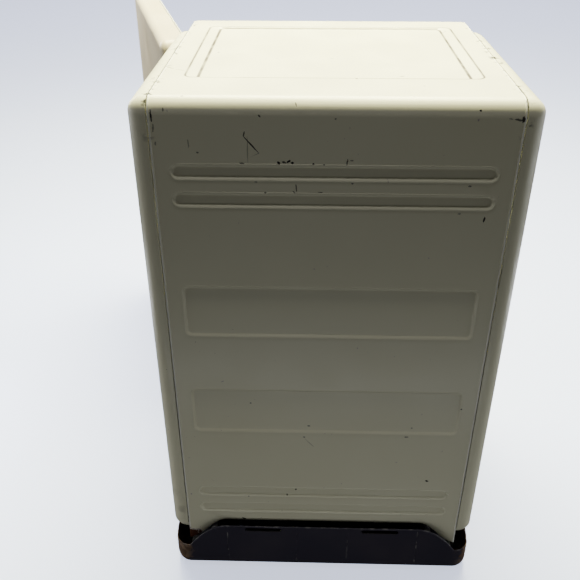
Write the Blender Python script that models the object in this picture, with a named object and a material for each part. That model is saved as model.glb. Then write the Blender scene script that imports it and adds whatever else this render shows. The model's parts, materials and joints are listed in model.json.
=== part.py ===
"""Household trash compactor with a full-width door hinged at one side.

Metres, +Z up. The origin is on the floor under the middle of the cabinet and the door is
at the front, towards -Y. The door is modelled open, the container in and the ram up.
Left and right are as seen by a person who faces the door, so left is -X.
"""

import math

import bmesh
import bpy
from mathutils import Vector
from mathutils.geometry import delaunay_2d_cdt

# Cabinet shell; the side panels stand out a little further at the back than at the front
HALF_WIDTH = 0.260
SIDE_FRONT_X = 0.2594
SIDE_BACK_X = 0.2665
HALF_DEPTH = 0.2292
TOP = 0.864
SHEET = 0.0015
WRAP_HALF_WIDTH = 0.238
SEAM_GAP = 0.0012
SIDE_BOTTOM = 0.075
SIDE_FILLET = 0.020
BEND_RADIUS = 0.0214
FRONT_TOP_RADIUS = 0.090
CLEARANCE = 0.0003

# Recesses pressed into the back and the top, and the back's lower edge with its two tabs
PRESS_DEPTH = 0.0028
PRESS_WALL = 0.004
RIB_HEIGHTS = (0.767, 0.727, 0.1767, 0.1375)
RIB_HALF = (0.2145, 0.0100)
PANEL_SPANS = ((0.5045, 0.5906), (0.3148, 0.4020))
PANEL_HALF_WIDTH = 0.213
TOP_RECESS_Y = -0.026
TOP_RECESS_OUTER = (0.204, 0.157)
TOP_RECESS_INNER = (0.1865, 0.152)
BACK_EDGE = 0.106
TAB_LENGTH = 0.049
TAB_START = 0.171
TAB_SLOPE = 0.067
FRONT_CORNER_CLIP = 0.007

# Black base that the cabinet stands in
BASE_HALF_WIDTH = 0.264
BASE_HALF_DEPTH = 0.2459
BASE_CORNER = 0.0265
BASE_FILLET = 0.020
BASE_SHEET = 0.002
BASE_WALL_TOP = 0.107
BASE_CORNER_TOP = 0.055
BASE_SIDE_TOP = 0.0772
BASE_SIDE_RISE = 0.020
BASE_UPRIGHT_TOP = 0.050
BASE_LEAN = 0.0045
SHOULDER_START = 0.170
SHOULDER_END = 0.2365
SHOULDER_POWER = 1.9
GLAND_PLACE = (-0.100, 0.038)

# Door and its hinge axis, which runs along Z
HINGE_X = 0.2655
HINGE_Y = -0.2408
DOOR_OPEN = math.radians(106.9)
DOOR_REAR = 0.0065
DOOR_THICKNESS = 0.0465
DOOR_BOTTOM = 0.112
DOOR_TOP = 0.825
DOOR_CORNER = 0.020
DOOR_FILLET = 0.014
HINGE_HEIGHTS = (0.700, 0.230)

# Front frame
FRAME_FRONT = -0.2280
FRAME_REAR = -0.2080
OPENING_HALF_WIDTH = 0.203
OPENING_BOTTOM = 0.131
OPENING_TOP = 0.822
FRAME_BOTTOM = 0.085
CHEEK_X = (0.2364, 0.2378)
CHEEK_Y = (-0.2120, -0.1300)
CHEEK_Z = (0.765, 0.8612)

# Compacting chamber, container and rollers
DECK_BOTTOM = 0.1045
DECK_TOP = 0.1075
LINER_X = 0.2035
LINER_TOP = 0.500
ROLLER_RADIUS = 0.015
ROLLER_AXLE_Z = 0.1232
AXLE_RADIUS = 0.004
FRONT_ROLLER_Y = -0.180
REAR_ROLLER_Y = 0.160
BIN_HALF_WIDTH = 0.1975
BIN_HALF_DEPTH = 0.195
BIN_BOTTOM = 0.139
BIN_TOP = 0.500
BIN_WALL = 0.003

# Ram, power screws and their frame
SCREW_X = 0.226
SCREW_RADIUS = 0.0085
SCREW_BOTTOM = 0.016
SCREW_TOP = 0.835
RAM_PLATE_BOTTOM = 0.515
CROSSHEAD_TOP = 0.804
CROSSHEAD_HEIGHT = 0.034
CROSSHEAD_HALF_DEPTH = 0.022
BEAM_BOTTOM = 0.8148
BEAM_TOP = 0.845
UPRIGHT_INNER = 0.244
UPRIGHT_OUTER = 0.2575

# Drive in the base
CHAIN_Z = 0.0565
CHAIN_HEIGHT = 0.005
SCREW_SPROCKET = (12, 0.022)
DRIVE_SPROCKET = (10, 0.0185)
JACKSHAFT_XY = (0.0, 0.070)
MOTOR_XY = (0.115, 0.150)
BELT_Z = 0.080
BELT_HEIGHT = 0.008
LARGE_PULLEY = 0.036
SMALL_PULLEY = 0.014

# Fixed parts that the mechanism needs: (radius, lowest, highest) or (x, y, z) spans
LOWER_BEARING = (0.0155, 0.0145, 0.0390)
UPPER_BEARING_RADIUS = 0.0200
BEARING_BORE = 0.0068
WHEEL_BORE = 0.0063
CAPACITOR_XY = (-0.120, 0.140)
CAPACITOR_PROFILE = [(0.018, 0.0025), (0.018, 0.068), (0.016, 0.070)]
DOOR_SWITCH = ((-0.180, -0.145), (-0.2065, -0.1900), (0.826, 0.850))
CATCH_PLATE = ((-0.236, -0.221), (-0.2291, FRAME_FRONT - CLEARANCE), (0.445, 0.495))
MAGNET = ((-0.4985, -0.4905), (DOOR_REAR - 0.0001, DOOR_REAR + 0.0043), (0.450, 0.490))

# Controls on the strip above the door
PANEL_HALF_WIDTH = 0.236
PANEL_FRONT = -0.2400
PANEL_REAR = -0.2284
PANEL_BOTTOM = 0.8290
PANEL_TOP = 0.8595
CONTROL_Z = 0.8445
KNOB_X = -0.160
START_X = -0.070
STOP_X = -0.035
LAMP_X = 0.015
KEY_X = 0.120


# Helpers ------------------------------------------------------------------------------


def clear_scene():
    for obj in list(bpy.data.objects):
        bpy.data.objects.remove(obj)


def material(name, colour, roughness, metallic=0.0):
    made = bpy.data.materials.new(name)
    made.use_nodes = True
    shader = made.node_tree.nodes["Principled BSDF"]
    shader.inputs["Base Color"].default_value = (*colour, 1.0)
    shader.inputs["Roughness"].default_value = roughness
    shader.inputs["Metallic"].default_value = metallic
    return made


def piece(name, vertices, faces, look, axis="Z", parent=None):
    """A mesh object. Its points are (a, b, c) with c along axis; a and b keep the right hand."""
    turn = {"Z": (0, 1, 2), "X": (2, 0, 1), "Y": (1, 2, 0)}[axis]
    mesh = bpy.data.meshes.new(name)
    mesh.from_pydata([[v[i] for i in turn] for v in vertices], [], faces)
    mesh.update()
    obj = bpy.data.objects.new(name, mesh)
    bpy.context.scene.collection.objects.link(obj)
    obj.data.materials.append(look)
    obj.parent = parent
    return obj


def face_outwards(obj):
    work = bmesh.new()
    work.from_mesh(obj.data)
    bmesh.ops.recalc_face_normals(work, faces=work.faces)
    work.to_mesh(obj.data)
    work.free()
    return obj


def smooth_round(obj, degrees=40):
    obj.data.shade_smooth()
    obj.data.set_sharp_from_angle(angle=math.radians(degrees))
    return obj


def ring_faces(rows, count, closed):
    """Quads between consecutive rings of count points each."""
    pairs = rows if closed else rows - 1
    faces = []
    for i in range(pairs):
        low, high = i * count, ((i + 1) % rows) * count
        for j in range(count):
            k = (j + 1) % count
            faces.append((low + j, low + k, high + k, high + j))
    return faces


def loft(name, rings, look, axis="Z", parent=None, closed=False):
    """A solid through rings of equal point counts: capped at both ends, or closed on itself."""
    count = len(rings[0])
    faces = ring_faces(len(rings), count, closed)
    if not closed:
        faces.append(tuple(reversed(range(count))))
        faces.append(tuple(range((len(rings) - 1) * count, len(rings) * count)))
    vertices = [point for ring in rings for point in ring]
    return face_outwards(piece(name, vertices, faces, look, axis, parent))


def prism(name, outline, low, high, look, axis="Z", parent=None):
    rings = [[(a, b, c) for a, b in outline] for c in (low, high)]
    return loft(name, rings, look, axis, parent)


def block(name, x, y, z, look, parent=None, bevel=0.0):
    outline = [(x[0], y[0]), (x[1], y[0]), (x[1], y[1]), (x[0], y[1])]
    obj = prism(name, outline, z[0], z[1], look, parent=parent)
    if bevel:
        round_edges(obj, bevel)
    return obj


def round_edges(obj, width, segments=2):
    modifier = obj.modifiers.new("rounded_edges", "BEVEL")
    modifier.width = width
    modifier.segments = segments
    modifier.limit_method = "ANGLE"
    modifier.angle_limit = math.radians(50)
    return obj


def turned(name, profile, look, centre=(0.0, 0.0), axis="Z", parent=None, bored=False, sides=20):
    """A solid of revolution from (radius, height) points; bored closes the profile on itself."""
    rings = []
    for radius, height in profile:
        ring = []
        for i in range(sides):
            angle = 2 * math.pi * i / sides
            a = centre[0] + radius * math.cos(angle)
            b = centre[1] + radius * math.sin(angle)
            ring.append((a, b, height))
        rings.append(ring)
    obj = loft(name, rings, look, axis, parent, closed=bored)
    return smooth_round(obj)


def tube(name, outer, inner, low, high, look, centre=(0.0, 0.0), axis="Z", parent=None, sides=20):
    profile = [(outer, low), (outer, high), (inner, high), (inner, low)]
    return turned(name, profile, look, centre, axis, parent, bored=True, sides=sides)


def rounded_rectangle(centre, half, radius, steps=4):
    """Anticlockwise outline with steps segments round each corner; four radii may be given."""
    corners = ((1, -1, -90), (1, 1, 0), (-1, 1, 90), (-1, -1, 180))
    radii = radius if isinstance(radius, tuple) else (radius,) * 4
    points = []
    for (a, b, start), reach in zip(corners, radii):
        middle = (centre[0] + a * (half[0] - reach), centre[1] + b * (half[1] - reach))
        for i in range(steps + 1):
            angle = math.radians(start + 90 * i / steps)
            points.append((middle[0] + reach * math.cos(angle), middle[1] + reach * math.sin(angle)))
    return points


def inset_rectangle(centre, half, radius, inset, steps=4):
    smaller = (half[0] - inset, half[1] - inset)
    radii = radius if isinstance(radius, tuple) else (radius,) * 4
    return rounded_rectangle(centre, smaller, tuple(max(r - inset, 0.002) for r in radii), steps)


def sheet(name, rings, look, axis="Z", parent=None, thickness=SHEET, flip=False):
    """A pressed cup: rings from its rim to its closed end, then thickened on the inside."""
    count = len(rings[0])
    faces = ring_faces(len(rings), count, closed=False)
    faces.append(tuple(range((len(rings) - 1) * count, len(rings) * count)))
    if flip:
        faces = [tuple(reversed(face)) for face in faces]
    vertices = [point for ring in rings for point in ring]
    obj = piece(name, vertices, faces, look, axis, parent)
    return thicken(obj, thickness)


def thicken(obj, thickness):
    modifier = obj.modifiers.new("thickness", "SOLIDIFY")
    modifier.thickness = thickness
    modifier.offset = -1
    modifier.use_even_offset = True
    return obj


def pan(name, centre, half, radius, fillet, rim, face, look, axis, parent=None, flip=False, steps=4):
    """A shallow sheet-metal pan from its rim to its face, with a rounded edge round the face."""
    side = 1 if face > rim else -1
    rings = [[(a, b, rim) for a, b in rounded_rectangle(centre, half, radius, steps)]]
    for angle in quarter(4):
        inset = fillet * (1 - math.cos(angle))
        level = face - side * fillet * (1 - math.sin(angle))
        outline = inset_rectangle(centre, half, radius, inset, steps)
        rings.append([(a, b, level) for a, b in outline])
    return smooth_round(sheet(name, rings, look, axis, parent, flip=flip))


def hide(obj):
    obj.hide_render = True
    obj.display_type = "WIRE"
    return obj


def combine(obj, other, operation):
    """Applies a Boolean of other to obj, so that other can be removed."""
    modifier = obj.modifiers.new(operation.lower(), "BOOLEAN")
    modifier.object = other
    modifier.operation = operation
    modifier.solver = "EXACT"
    hide(other)
    graph = bpy.context.evaluated_depsgraph_get()
    mesh = bpy.data.meshes.new_from_object(obj.evaluated_get(graph))
    obj.modifiers.clear()
    obj.data = mesh
    bpy.data.objects.remove(other)
    return obj


def cut(obj, *cutters):
    for cutter in cutters:
        combine(obj, cutter, "DIFFERENCE")
    return obj


def join(obj, *others):
    for other in others:
        combine(obj, other, "UNION")
    return obj


def joint_axis(name, location, angle=0.0):
    """An empty on a joint's axis, which the pieces that turn or slide are parented to."""
    empty = bpy.data.objects.new(name, None)
    empty.location = location
    empty.rotation_euler.z = angle
    bpy.context.scene.collection.objects.link(empty)
    return empty


def smoothstep(value):
    value = min(max(value, 0.0), 1.0)
    return value * value * (3 - 2 * value)


# Base ---------------------------------------------------------------------------------


def base_wall_height(x, y):
    """Top of the base's wall: high at front and back, low at the corners, and under the side panels."""
    if abs(y) >= BASE_HALF_DEPTH - BASE_CORNER:
        share = (abs(x) - SHOULDER_START) / (SHOULDER_END - SHOULDER_START)
        drop = min(max(share, 0.0), 1.0) ** SHOULDER_POWER
        return BASE_WALL_TOP - (BASE_WALL_TOP - BASE_CORNER_TOP) * drop
    rise = (BASE_HALF_DEPTH - BASE_CORNER - abs(y)) / BASE_SIDE_RISE
    return BASE_CORNER_TOP + (BASE_SIDE_TOP - BASE_CORNER_TOP) * smoothstep(rise)


def base_lean(x, y):
    """How far the top of the wall leans in, so that it goes up inside the side panels."""
    if abs(y) >= BASE_HALF_DEPTH - BASE_CORNER - 1e-6:
        return 0.0
    share = (base_wall_height(x, y) - BASE_UPRIGHT_TOP) / (BASE_SIDE_TOP - BASE_UPRIGHT_TOP)
    rise = (BASE_HALF_DEPTH - BASE_CORNER - abs(y)) / BASE_SIDE_RISE
    return BASE_LEAN * share * smoothstep(rise)


def base_stations():
    """(point, outward normal) pairs round the base, with more of them on the shoulders."""
    flat_x = BASE_HALF_WIDTH - BASE_CORNER
    flat_y = BASE_HALF_DEPTH - BASE_CORNER
    shoulders = [SHOULDER_START + (SHOULDER_END - SHOULDER_START) * i / 6 for i in range(7)]
    along_x = sorted([-x for x in shoulders] + shoulders)
    along_y = sorted(s * (flat_y - BASE_SIDE_RISE * i / 4) for s in (-1, 1) for i in range(1, 5))
    stations = [((x, -BASE_HALF_DEPTH), (0, -1)) for x in along_x]
    stations += corner_stations(flat_x, -flat_y, -90)
    stations += [((BASE_HALF_WIDTH, y), (1, 0)) for y in along_y]
    stations += corner_stations(flat_x, flat_y, 0)
    stations += [((x, BASE_HALF_DEPTH), (0, 1)) for x in reversed(along_x)]
    stations += corner_stations(-flat_x, flat_y, 90)
    stations += [((-BASE_HALF_WIDTH, y), (-1, 0)) for y in reversed(along_y)]
    stations += corner_stations(-flat_x, -flat_y, 180)
    return stations


def corner_stations(x, y, start, steps=5):
    stations = []
    for i in range(steps + 1):
        angle = math.radians(start + 90 * i / steps)
        normal = (math.cos(angle), math.sin(angle))
        point = (x + BASE_CORNER * normal[0], y + BASE_CORNER * normal[1])
        stations.append((point, normal))
    return stations


def make_base_pan(look):
    stations = base_stations()
    inner_fillet = BASE_FILLET - BASE_SHEET
    steps = 3
    outer = [(BASE_FILLET * (1 - math.sin(a)), BASE_FILLET * (1 - math.cos(a))) for a in quarter(steps)]
    inner = [
        (BASE_FILLET - inner_fillet * math.sin(a), BASE_FILLET - inner_fillet * math.cos(a))
        for a in quarter(steps)
    ]
    rings = [[at_inset(p, n, inset, z) for p, n in stations] for inset, z in outer]
    rings.append([at_inset(p, n, 0.0, BASE_UPRIGHT_TOP) for p, n in stations])
    rings.append([at_inset(p, n, base_lean(*p), base_wall_height(*p)) for p, n in stations])
    rings.append([at_inset(p, n, base_lean(*p) + BASE_SHEET, base_wall_height(*p)) for p, n in stations])
    rings.append([at_inset(p, n, BASE_SHEET, BASE_UPRIGHT_TOP) for p, n in stations])
    rings += [[at_inset(p, n, inset, z) for p, n in stations] for inset, z in reversed(inner)]
    base = smooth_round(loft("base_pan", rings, look))
    wall = (BASE_HALF_DEPTH - 0.010, BASE_HALF_DEPTH + 0.010)
    for middle in (0.1045, -0.1015):
        slot = rounded_rectangle((0.0985, middle), (0.0045, 0.0325), 0.0044, steps=3)
        cut(base, prism("vent_slot", slot, *wall, look, axis="Y"))
    gland_hole = turned("gland_hole", [(0.0085, -0.272), (0.0085, -0.252)], look, GLAND_PLACE, "X")
    return cut(base, gland_hole)


def quarter(steps):
    return [math.radians(90 * i / steps) for i in range(steps + 1)]


def at_inset(point, normal, inset, z):
    return (point[0] - inset * normal[0], point[1] - inset * normal[1], z)


def make_base_frame(look):
    floor = BASE_SHEET + CLEARANCE
    rail_top = 0.014
    frame = block("base_frame", (-0.242, -0.200), (-0.205, 0.205), (floor, rail_top), look)
    parts = [block("rail", (0.200, 0.242), (-0.205, 0.205), (floor, rail_top), look)]
    for y in (-0.195, JACKSHAFT_XY[1], 0.195):
        parts.append(block("cross", (-0.201, 0.201), (y - 0.0095, y + 0.0095), (floor, 0.012), look))
    for x in (-0.222, 0.222):
        for y in (-0.178, 0.178):
            post = block("post", (x - 0.012, x + 0.012), (y - 0.012, y + 0.012), (0.010, 0.1042), look)
            parts.append(post)
    parts.append(turned("boss", [(0.016, 0.005), (0.016, 0.035)], look, JACKSHAFT_XY))
    join(frame, *parts)
    return cut(frame, turned("bore", [(0.0065, 0.006), (0.0065, 0.040)], look, JACKSHAFT_XY))


def make_cord_gland(look):
    near, wall = -BASE_HALF_WIDTH + 0.005, -BASE_HALF_WIDTH - CLEARANCE
    profile = [(0.0045, near), (0.0080, near), (0.0080, wall), (0.0110, wall)]
    profile += [(0.0110, wall - 0.0027), (0.0085, wall - 0.0057), (0.0045, wall - 0.0057)]
    return turned("cord_gland", profile, look, GLAND_PLACE, "X", bored=True, sides=16)


# Shell --------------------------------------------------------------------------------


def make_side_panel(name, side, look):
    """A pressed pan, a little wider at the back than at the front."""
    height = TOP - SIDE_BOTTOM
    centre = (0.0, SIDE_BOTTOM + height / 2)
    rim = WRAP_HALF_WIDTH + SEAM_GAP
    half = (HALF_DEPTH, height / 2)
    radii = (BEND_RADIUS, BEND_RADIUS, FRONT_TOP_RADIUS, BEND_RADIUS)
    panel = pan(
        name, centre, half, radii, SIDE_FILLET, side * rim, side * SIDE_FRONT_X, look, "X",
        flip=side < 0, steps=7,
    )
    widening = (SIDE_BACK_X - SIDE_FRONT_X) / (SIDE_FRONT_X - rim) / (2 * HALF_DEPTH)
    for vertex in panel.data.vertices:
        vertex.co.x += side * (abs(vertex.co.x) - rim) * widening * (vertex.co.y + HALF_DEPTH)
    return panel


def wrap_point(u, v, depth):
    """A point of the wrapped sheet: u across, v from the front edge back and then down."""
    flat = 2 * HALF_DEPTH - BEND_RADIUS
    arc = BEND_RADIUS * math.pi / 2
    if v <= flat:
        return (u, v - HALF_DEPTH, TOP - depth)
    if v >= flat + arc:
        return (u, HALF_DEPTH - depth, TOP - BEND_RADIUS - (v - flat - arc))
    angle = (v - flat) / BEND_RADIUS
    radius = BEND_RADIUS - depth
    return (
        u,
        HALF_DEPTH - BEND_RADIUS + radius * math.sin(angle),
        TOP - BEND_RADIUS + radius * math.cos(angle),
    )


def wrap_v_of_height(z):
    return 2 * HALF_DEPTH - BEND_RADIUS + BEND_RADIUS * math.pi / 2 + TOP - BEND_RADIUS - z


def wrap_lower_edge(x):
    return BACK_EDGE - TAB_LENGTH * smoothstep((abs(x) - TAB_START) / TAB_SLOPE)


def wrap_outline():
    """Outline of the flat sheet, with clipped front corners and two tabs at the bottom."""
    clip = FRONT_CORNER_CLIP
    w = WRAP_HALF_WIDTH
    shoulder = [TAB_START + (w - TAB_START) * i / 7 for i in range(8)]
    bottom = [-x for x in reversed(shoulder)] + shoulder
    points = [(-w, clip), (-w + clip, 0.0), (w - clip, 0.0), (w, clip)]
    return points + [(x, wrap_v_of_height(wrap_lower_edge(x))) for x in reversed(bottom)]


def pressed_loops():
    """(outer loop, inner loop) of each recess in the flat sheet."""
    loops = []
    for z in RIB_HEIGHTS:
        centre = (0.0, wrap_v_of_height(z))
        radius = RIB_HALF[1] - 1e-5
        outer = rounded_rectangle(centre, RIB_HALF, radius, steps=5)
        loops.append((outer, inset_rectangle(centre, RIB_HALF, radius, PRESS_WALL, steps=5)))
    for low, high in PANEL_SPANS:
        centre = (0.0, wrap_v_of_height((low + high) / 2))
        half = (PANEL_HALF_WIDTH, (high - low) / 2)
        outer = rounded_rectangle(centre, half, 0.009)
        loops.append((outer, inset_rectangle(centre, half, 0.009, PRESS_WALL)))
    centre = (0.0, HALF_DEPTH + TOP_RECESS_Y)
    outer = rounded_rectangle(centre, TOP_RECESS_OUTER, 0.012)
    loops.append((outer, rounded_rectangle(centre, TOP_RECESS_INNER, 0.008)))
    return loops


def make_wrap(look):
    """Top and back in one sheet: laid out flat, triangulated, then bent and thickened."""
    outline = wrap_outline()
    points = [Vector(p) for p in outline]
    depths = [0.0] * len(points)
    edges = []
    for outer, inner in pressed_loops():
        for loop, depth in ((outer, 0.0), (inner, PRESS_DEPTH)):
            first = len(points)
            points += [Vector(p) for p in loop]
            depths += [depth] * len(loop)
            edges += [(first + i, first + (i + 1) % len(loop)) for i in range(len(loop))]
    flat = 2 * HALF_DEPTH - BEND_RADIUS
    bends = 6
    for i in range(bends + 1):
        v = flat + BEND_RADIUS * math.pi / 2 * i / bends
        first = len(points)
        points += [Vector((-WRAP_HALF_WIDTH, v)), Vector((WRAP_HALF_WIDTH, v))]
        depths += [0.0, 0.0]
        edges.append((first, first + 1))
    border = list(range(len(outline)))
    found = delaunay_2d_cdt(points, edges, [border], 1, 1e-6)
    flat_points, triangles, sources = found[0], found[2], found[3]
    vertices = []
    for point, source in zip(flat_points, sources):
        depth = max((depths[i] for i in source), default=0.0)
        vertices.append(wrap_point(point.x, point.y, depth))
    wrap = piece("top_back_wrap", vertices, triangles, look)
    if wrap.data.polygons[0].normal.dot(Vector((0, 1, 1))) < 0:
        wrap.data.flip_normals()
    return smooth_round(thicken(wrap, SHEET), 25)


def make_front_frame(look):
    """Channel-section frame with two cheeks that close the side panels' rounded corners.

    Along the section, t runs from the opening's edge (0) to the outside (1).
    """
    inner = (-OPENING_HALF_WIDTH, OPENING_HALF_WIDTH, OPENING_BOTTOM, OPENING_TOP)
    outer = (-WRAP_HALF_WIDTH, WRAP_HALF_WIDTH, FRAME_BOTTOM, TOP - SHEET - 2 * CLEARANCE)
    front, rear = FRAME_FRONT, FRAME_REAR
    section = [(0, front), (0, rear), (0.05, rear), (0.05, front + SHEET)]
    section += [(0.95, front + SHEET), (0.95, rear), (1, rear), (1, front)]
    rings = []
    for a, b in ((0, 2), (1, 2), (1, 3), (0, 3)):
        rings.append(
            [
                (inner[b] + t * (outer[b] - inner[b]), inner[a] + t * (outer[a] - inner[a]), y)
                for t, y in section
            ]
        )
    frame = loft("front_frame", rings, look, axis="Y", closed=True)
    cheeks = []
    for side in (-1, 1):
        x = sorted(side * edge for edge in CHEEK_X)
        cheeks.append(block("cheek", x, CHEEK_Y, CHEEK_Z, look))
    return join(frame, *cheeks)


# Frame, chamber and container ---------------------------------------------------------


def make_upright(name, side, look):
    a, b = UPRIGHT_INNER, UPRIGHT_OUTER
    half, wall = 0.050, 0.0025
    outline = [(a, -half), (b, -half), (b, half), (a, half), (a, half - wall)]
    outline += [(b - wall, half - wall), (b - wall, -half + wall), (a, -half + wall)]
    outline = [(side * x, y) for x, y in outline]
    return prism(name, outline, DECK_TOP + 0.0005, BEAM_BOTTOM - CLEARANCE, look)


def make_top_crossbeam(look):
    half, wall = 0.030, 0.0025
    outline = [(-half, BEAM_BOTTOM), (-half + wall, BEAM_BOTTOM), (-half + wall, BEAM_TOP - wall)]
    outline += [(half - wall, BEAM_TOP - wall), (half - wall, BEAM_BOTTOM), (half, BEAM_BOTTOM)]
    outline += [(half, BEAM_TOP), (-half, BEAM_TOP)]
    return prism("top_crossbeam", outline, -UPRIGHT_OUTER, UPRIGHT_OUTER, look, axis="X")


def roller_lug(side, y, x_inner, low, high, look):
    x = sorted((side * x_inner, side * (x_inner + 0.003)))
    return block("lug", x, (y - 0.011, y + 0.011), (low, high), look)


def axle_hole(y, look):
    return turned("axle_hole", [(0.0045, -0.2), (0.0045, 0.2)], look, (y, ROLLER_AXLE_Z), "X", sides=12)


def make_chamber_floor(look):
    floor = block(
        "chamber_floor", (-UPRIGHT_OUTER, UPRIGHT_OUTER), (-0.204, 0.2045), (DECK_BOTTOM, DECK_TOP), look
    )
    for side in (-1, 1):
        join(floor, roller_lug(side, FRONT_ROLLER_Y, 0.1875, DECK_BOTTOM + 0.001, 0.131, look))
        screw_hole = turned("screw_hole", [(0.0115, 0.10), (0.0115, 0.12)], look, (side * SCREW_X, 0))
        cut(floor, screw_hole)
    return cut(floor, axle_hole(FRONT_ROLLER_Y, look))


def make_side_liner(name, side, look):
    """An upright sheet with a rim bent outwards along its top."""
    near, far, rim = LINER_X, LINER_X + SHEET, LINER_X + 0.008
    low, high = DECK_TOP + 0.0005, LINER_TOP
    outline = [(near, low), (far, low), (far, high - SHEET), (rim, high - SHEET), (rim, high), (near, high)]
    points = [(z, side * x) for x, z in outline]
    return prism(name, points, -0.2025, 0.2045, look, axis="Y")


def make_back_liner(look):
    near, far, rim = 0.2050, 0.2065, 0.2130
    low, high = DECK_TOP + 0.0005, LINER_TOP
    outline = [(near, low), (far, low), (far, high - SHEET), (rim, high - SHEET), (rim, high), (near, high)]
    return prism("back_liner", outline, -LINER_X - SHEET, LINER_X + SHEET, look, axis="X")


def make_container(look, parent):
    centre = (0.0, 0.0)
    outer = rounded_rectangle(centre, (BIN_HALF_WIDTH, BIN_HALF_DEPTH), 0.014)
    inner = inset_rectangle(centre, (BIN_HALF_WIDTH, BIN_HALF_DEPTH), 0.014, BIN_WALL)
    levels = ((outer, BIN_BOTTOM), (outer, BIN_TOP), (inner, BIN_TOP), (inner, BIN_BOTTOM + BIN_WALL))
    rings = [[(a, b, z) for a, b in outline] for outline, z in levels]
    container = smooth_round(loft("waste_container", rings, look, parent=parent))
    for side in (-1, 1):
        join(container, roller_lug(side, REAR_ROLLER_Y, 0.165, 0.113, BIN_BOTTOM + 0.001, look))
    return cut(container, axle_hole(REAR_ROLLER_Y, look))


def make_container_handle(look, parent):
    front = -BIN_HALF_DEPTH - CLEARANCE
    half, foot = 0.060, 0.009
    outline = [(-half, front), (-half, -0.2150), (-half + 0.008, -0.2215), (half - 0.008, -0.2215)]
    outline += [(half, -0.2150), (half, front), (half - foot, front), (half - foot, -0.2095)]
    outline += [(half - foot - 0.004, -0.2135), (-half + foot + 0.004, -0.2135)]
    outline += [(-half + foot, -0.2095), (-half + foot, front)]
    handle = prism("container_handle", outline, 0.420, 0.438, look, parent=parent)
    return round_edges(handle, 0.0015, 1)


def make_rollers(name, wheel_x, end, look, parent):
    """Two wheels on one axle along X, in the frame of the axle's own centre."""
    half = 0.006
    profile = []
    for x in (-wheel_x, wheel_x):
        profile += [(AXLE_RADIUS, x - half), (ROLLER_RADIUS, x - half)]
        profile += [(ROLLER_RADIUS, x + half), (AXLE_RADIUS, x + half)]
    profile = [(AXLE_RADIUS, -end)] + profile + [(AXLE_RADIUS, end)]
    return turned(name, profile, look, axis="X", parent=parent)


# Ram and screws -----------------------------------------------------------------------


def make_crosshead(look, parent):
    wall = 0.003
    half_width = 0.253
    low = CROSSHEAD_TOP - CROSSHEAD_HEIGHT
    d = CROSSHEAD_HALF_DEPTH
    outline = [(-d, low), (-d + wall, low), (-d + wall, CROSSHEAD_TOP - wall)]
    outline += [(d - wall, CROSSHEAD_TOP - wall), (d - wall, low), (d, low)]
    outline += [(d, CROSSHEAD_TOP), (-d, CROSSHEAD_TOP)]
    crosshead = prism("ram_crosshead", outline, -half_width, half_width, look, axis="X", parent=parent)
    for side in (-1, 1):
        hole = [(0.0105, low), (0.0105, CROSSHEAD_TOP + 0.01)]
        cut(crosshead, turned("screw_hole", hole, look, (side * SCREW_X, 0)))
    return crosshead


def make_strut(name, side, look, parent):
    half, wall = 0.017, 0.003
    a, b = 0.098, 0.120
    outline = [(a, -half), (b, -half), (b, half), (a, half), (a, half - wall)]
    outline += [(b - wall, half - wall), (b - wall, -half + wall), (a, -half + wall)]
    outline = [(side * x, y) for x, y in outline]
    low = RAM_PLATE_BOTTOM + 0.0045
    return prism(name, outline, low, CROSSHEAD_TOP - 0.0035, look, parent=parent)


def make_ram_plate(look, parent):
    half, radius, wall = (0.176, 0.170), 0.012, 0.0025
    outer = rounded_rectangle((0, 0), half, radius)
    inner = inset_rectangle((0, 0), half, radius, wall)
    low = RAM_PLATE_BOTTOM
    chamfer = inset_rectangle((0, 0), half, radius, 0.004)
    levels = ((chamfer, low), (outer, low + 0.005), (outer, low + 0.030), (inner, low + 0.030))
    levels += ((inner, low + 0.004),)
    rings = [[(a, b, z) for a, b in outline] for outline, z in levels]
    return smooth_round(loft("ram_plate", rings, look, parent=parent))


def make_drive_nut(name, side, look, parent):
    high = CROSSHEAD_TOP - 0.0035
    profile = [(SCREW_RADIUS + 0.0004, high), (0.0165, high), (0.0165, high - 0.008)]
    profile += [(0.0135, high - 0.010), (0.0135, high - 0.042), (SCREW_RADIUS + 0.0004, high - 0.042)]
    return turned(name, profile, look, (side * SCREW_X, 0), parent=parent, bored=True, sides=18)


def make_power_screw(name, look, parent):
    r = SCREW_RADIUS
    journal = 0.0065
    profile = [(journal, SCREW_BOTTOM), (journal, 0.040), (r, 0.040), (r, BEAM_BOTTOM - 0.0045)]
    profile += [(journal, BEAM_BOTTOM - 0.0045), (journal, SCREW_TOP)]
    return turned(name, profile, look, parent=parent, sides=18)


def make_sprocket(name, teeth, radius, bore, look, parent):
    """Flat toothed wheel: tip, tip, root and root points for each tooth."""
    outer, inner = [], []
    root = radius - 0.0035
    for tooth in range(teeth):
        for part, r in ((0.0, radius), (0.22, radius), (0.42, root), (0.80, root)):
            angle = 2 * math.pi * (tooth + part) / teeth
            outer.append((r * math.cos(angle), r * math.sin(angle)))
            inner.append((bore * math.cos(angle), bore * math.sin(angle)))
    low, high = CHAIN_Z - 0.0005, CHAIN_Z + CHAIN_HEIGHT + 0.0005
    levels = ((outer, low), (outer, high), (inner, high), (inner, low))
    rings = [[(a, b, z) for a, b in outline] for outline, z in levels]
    return loft(name, rings, look, parent=parent, closed=True)


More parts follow.
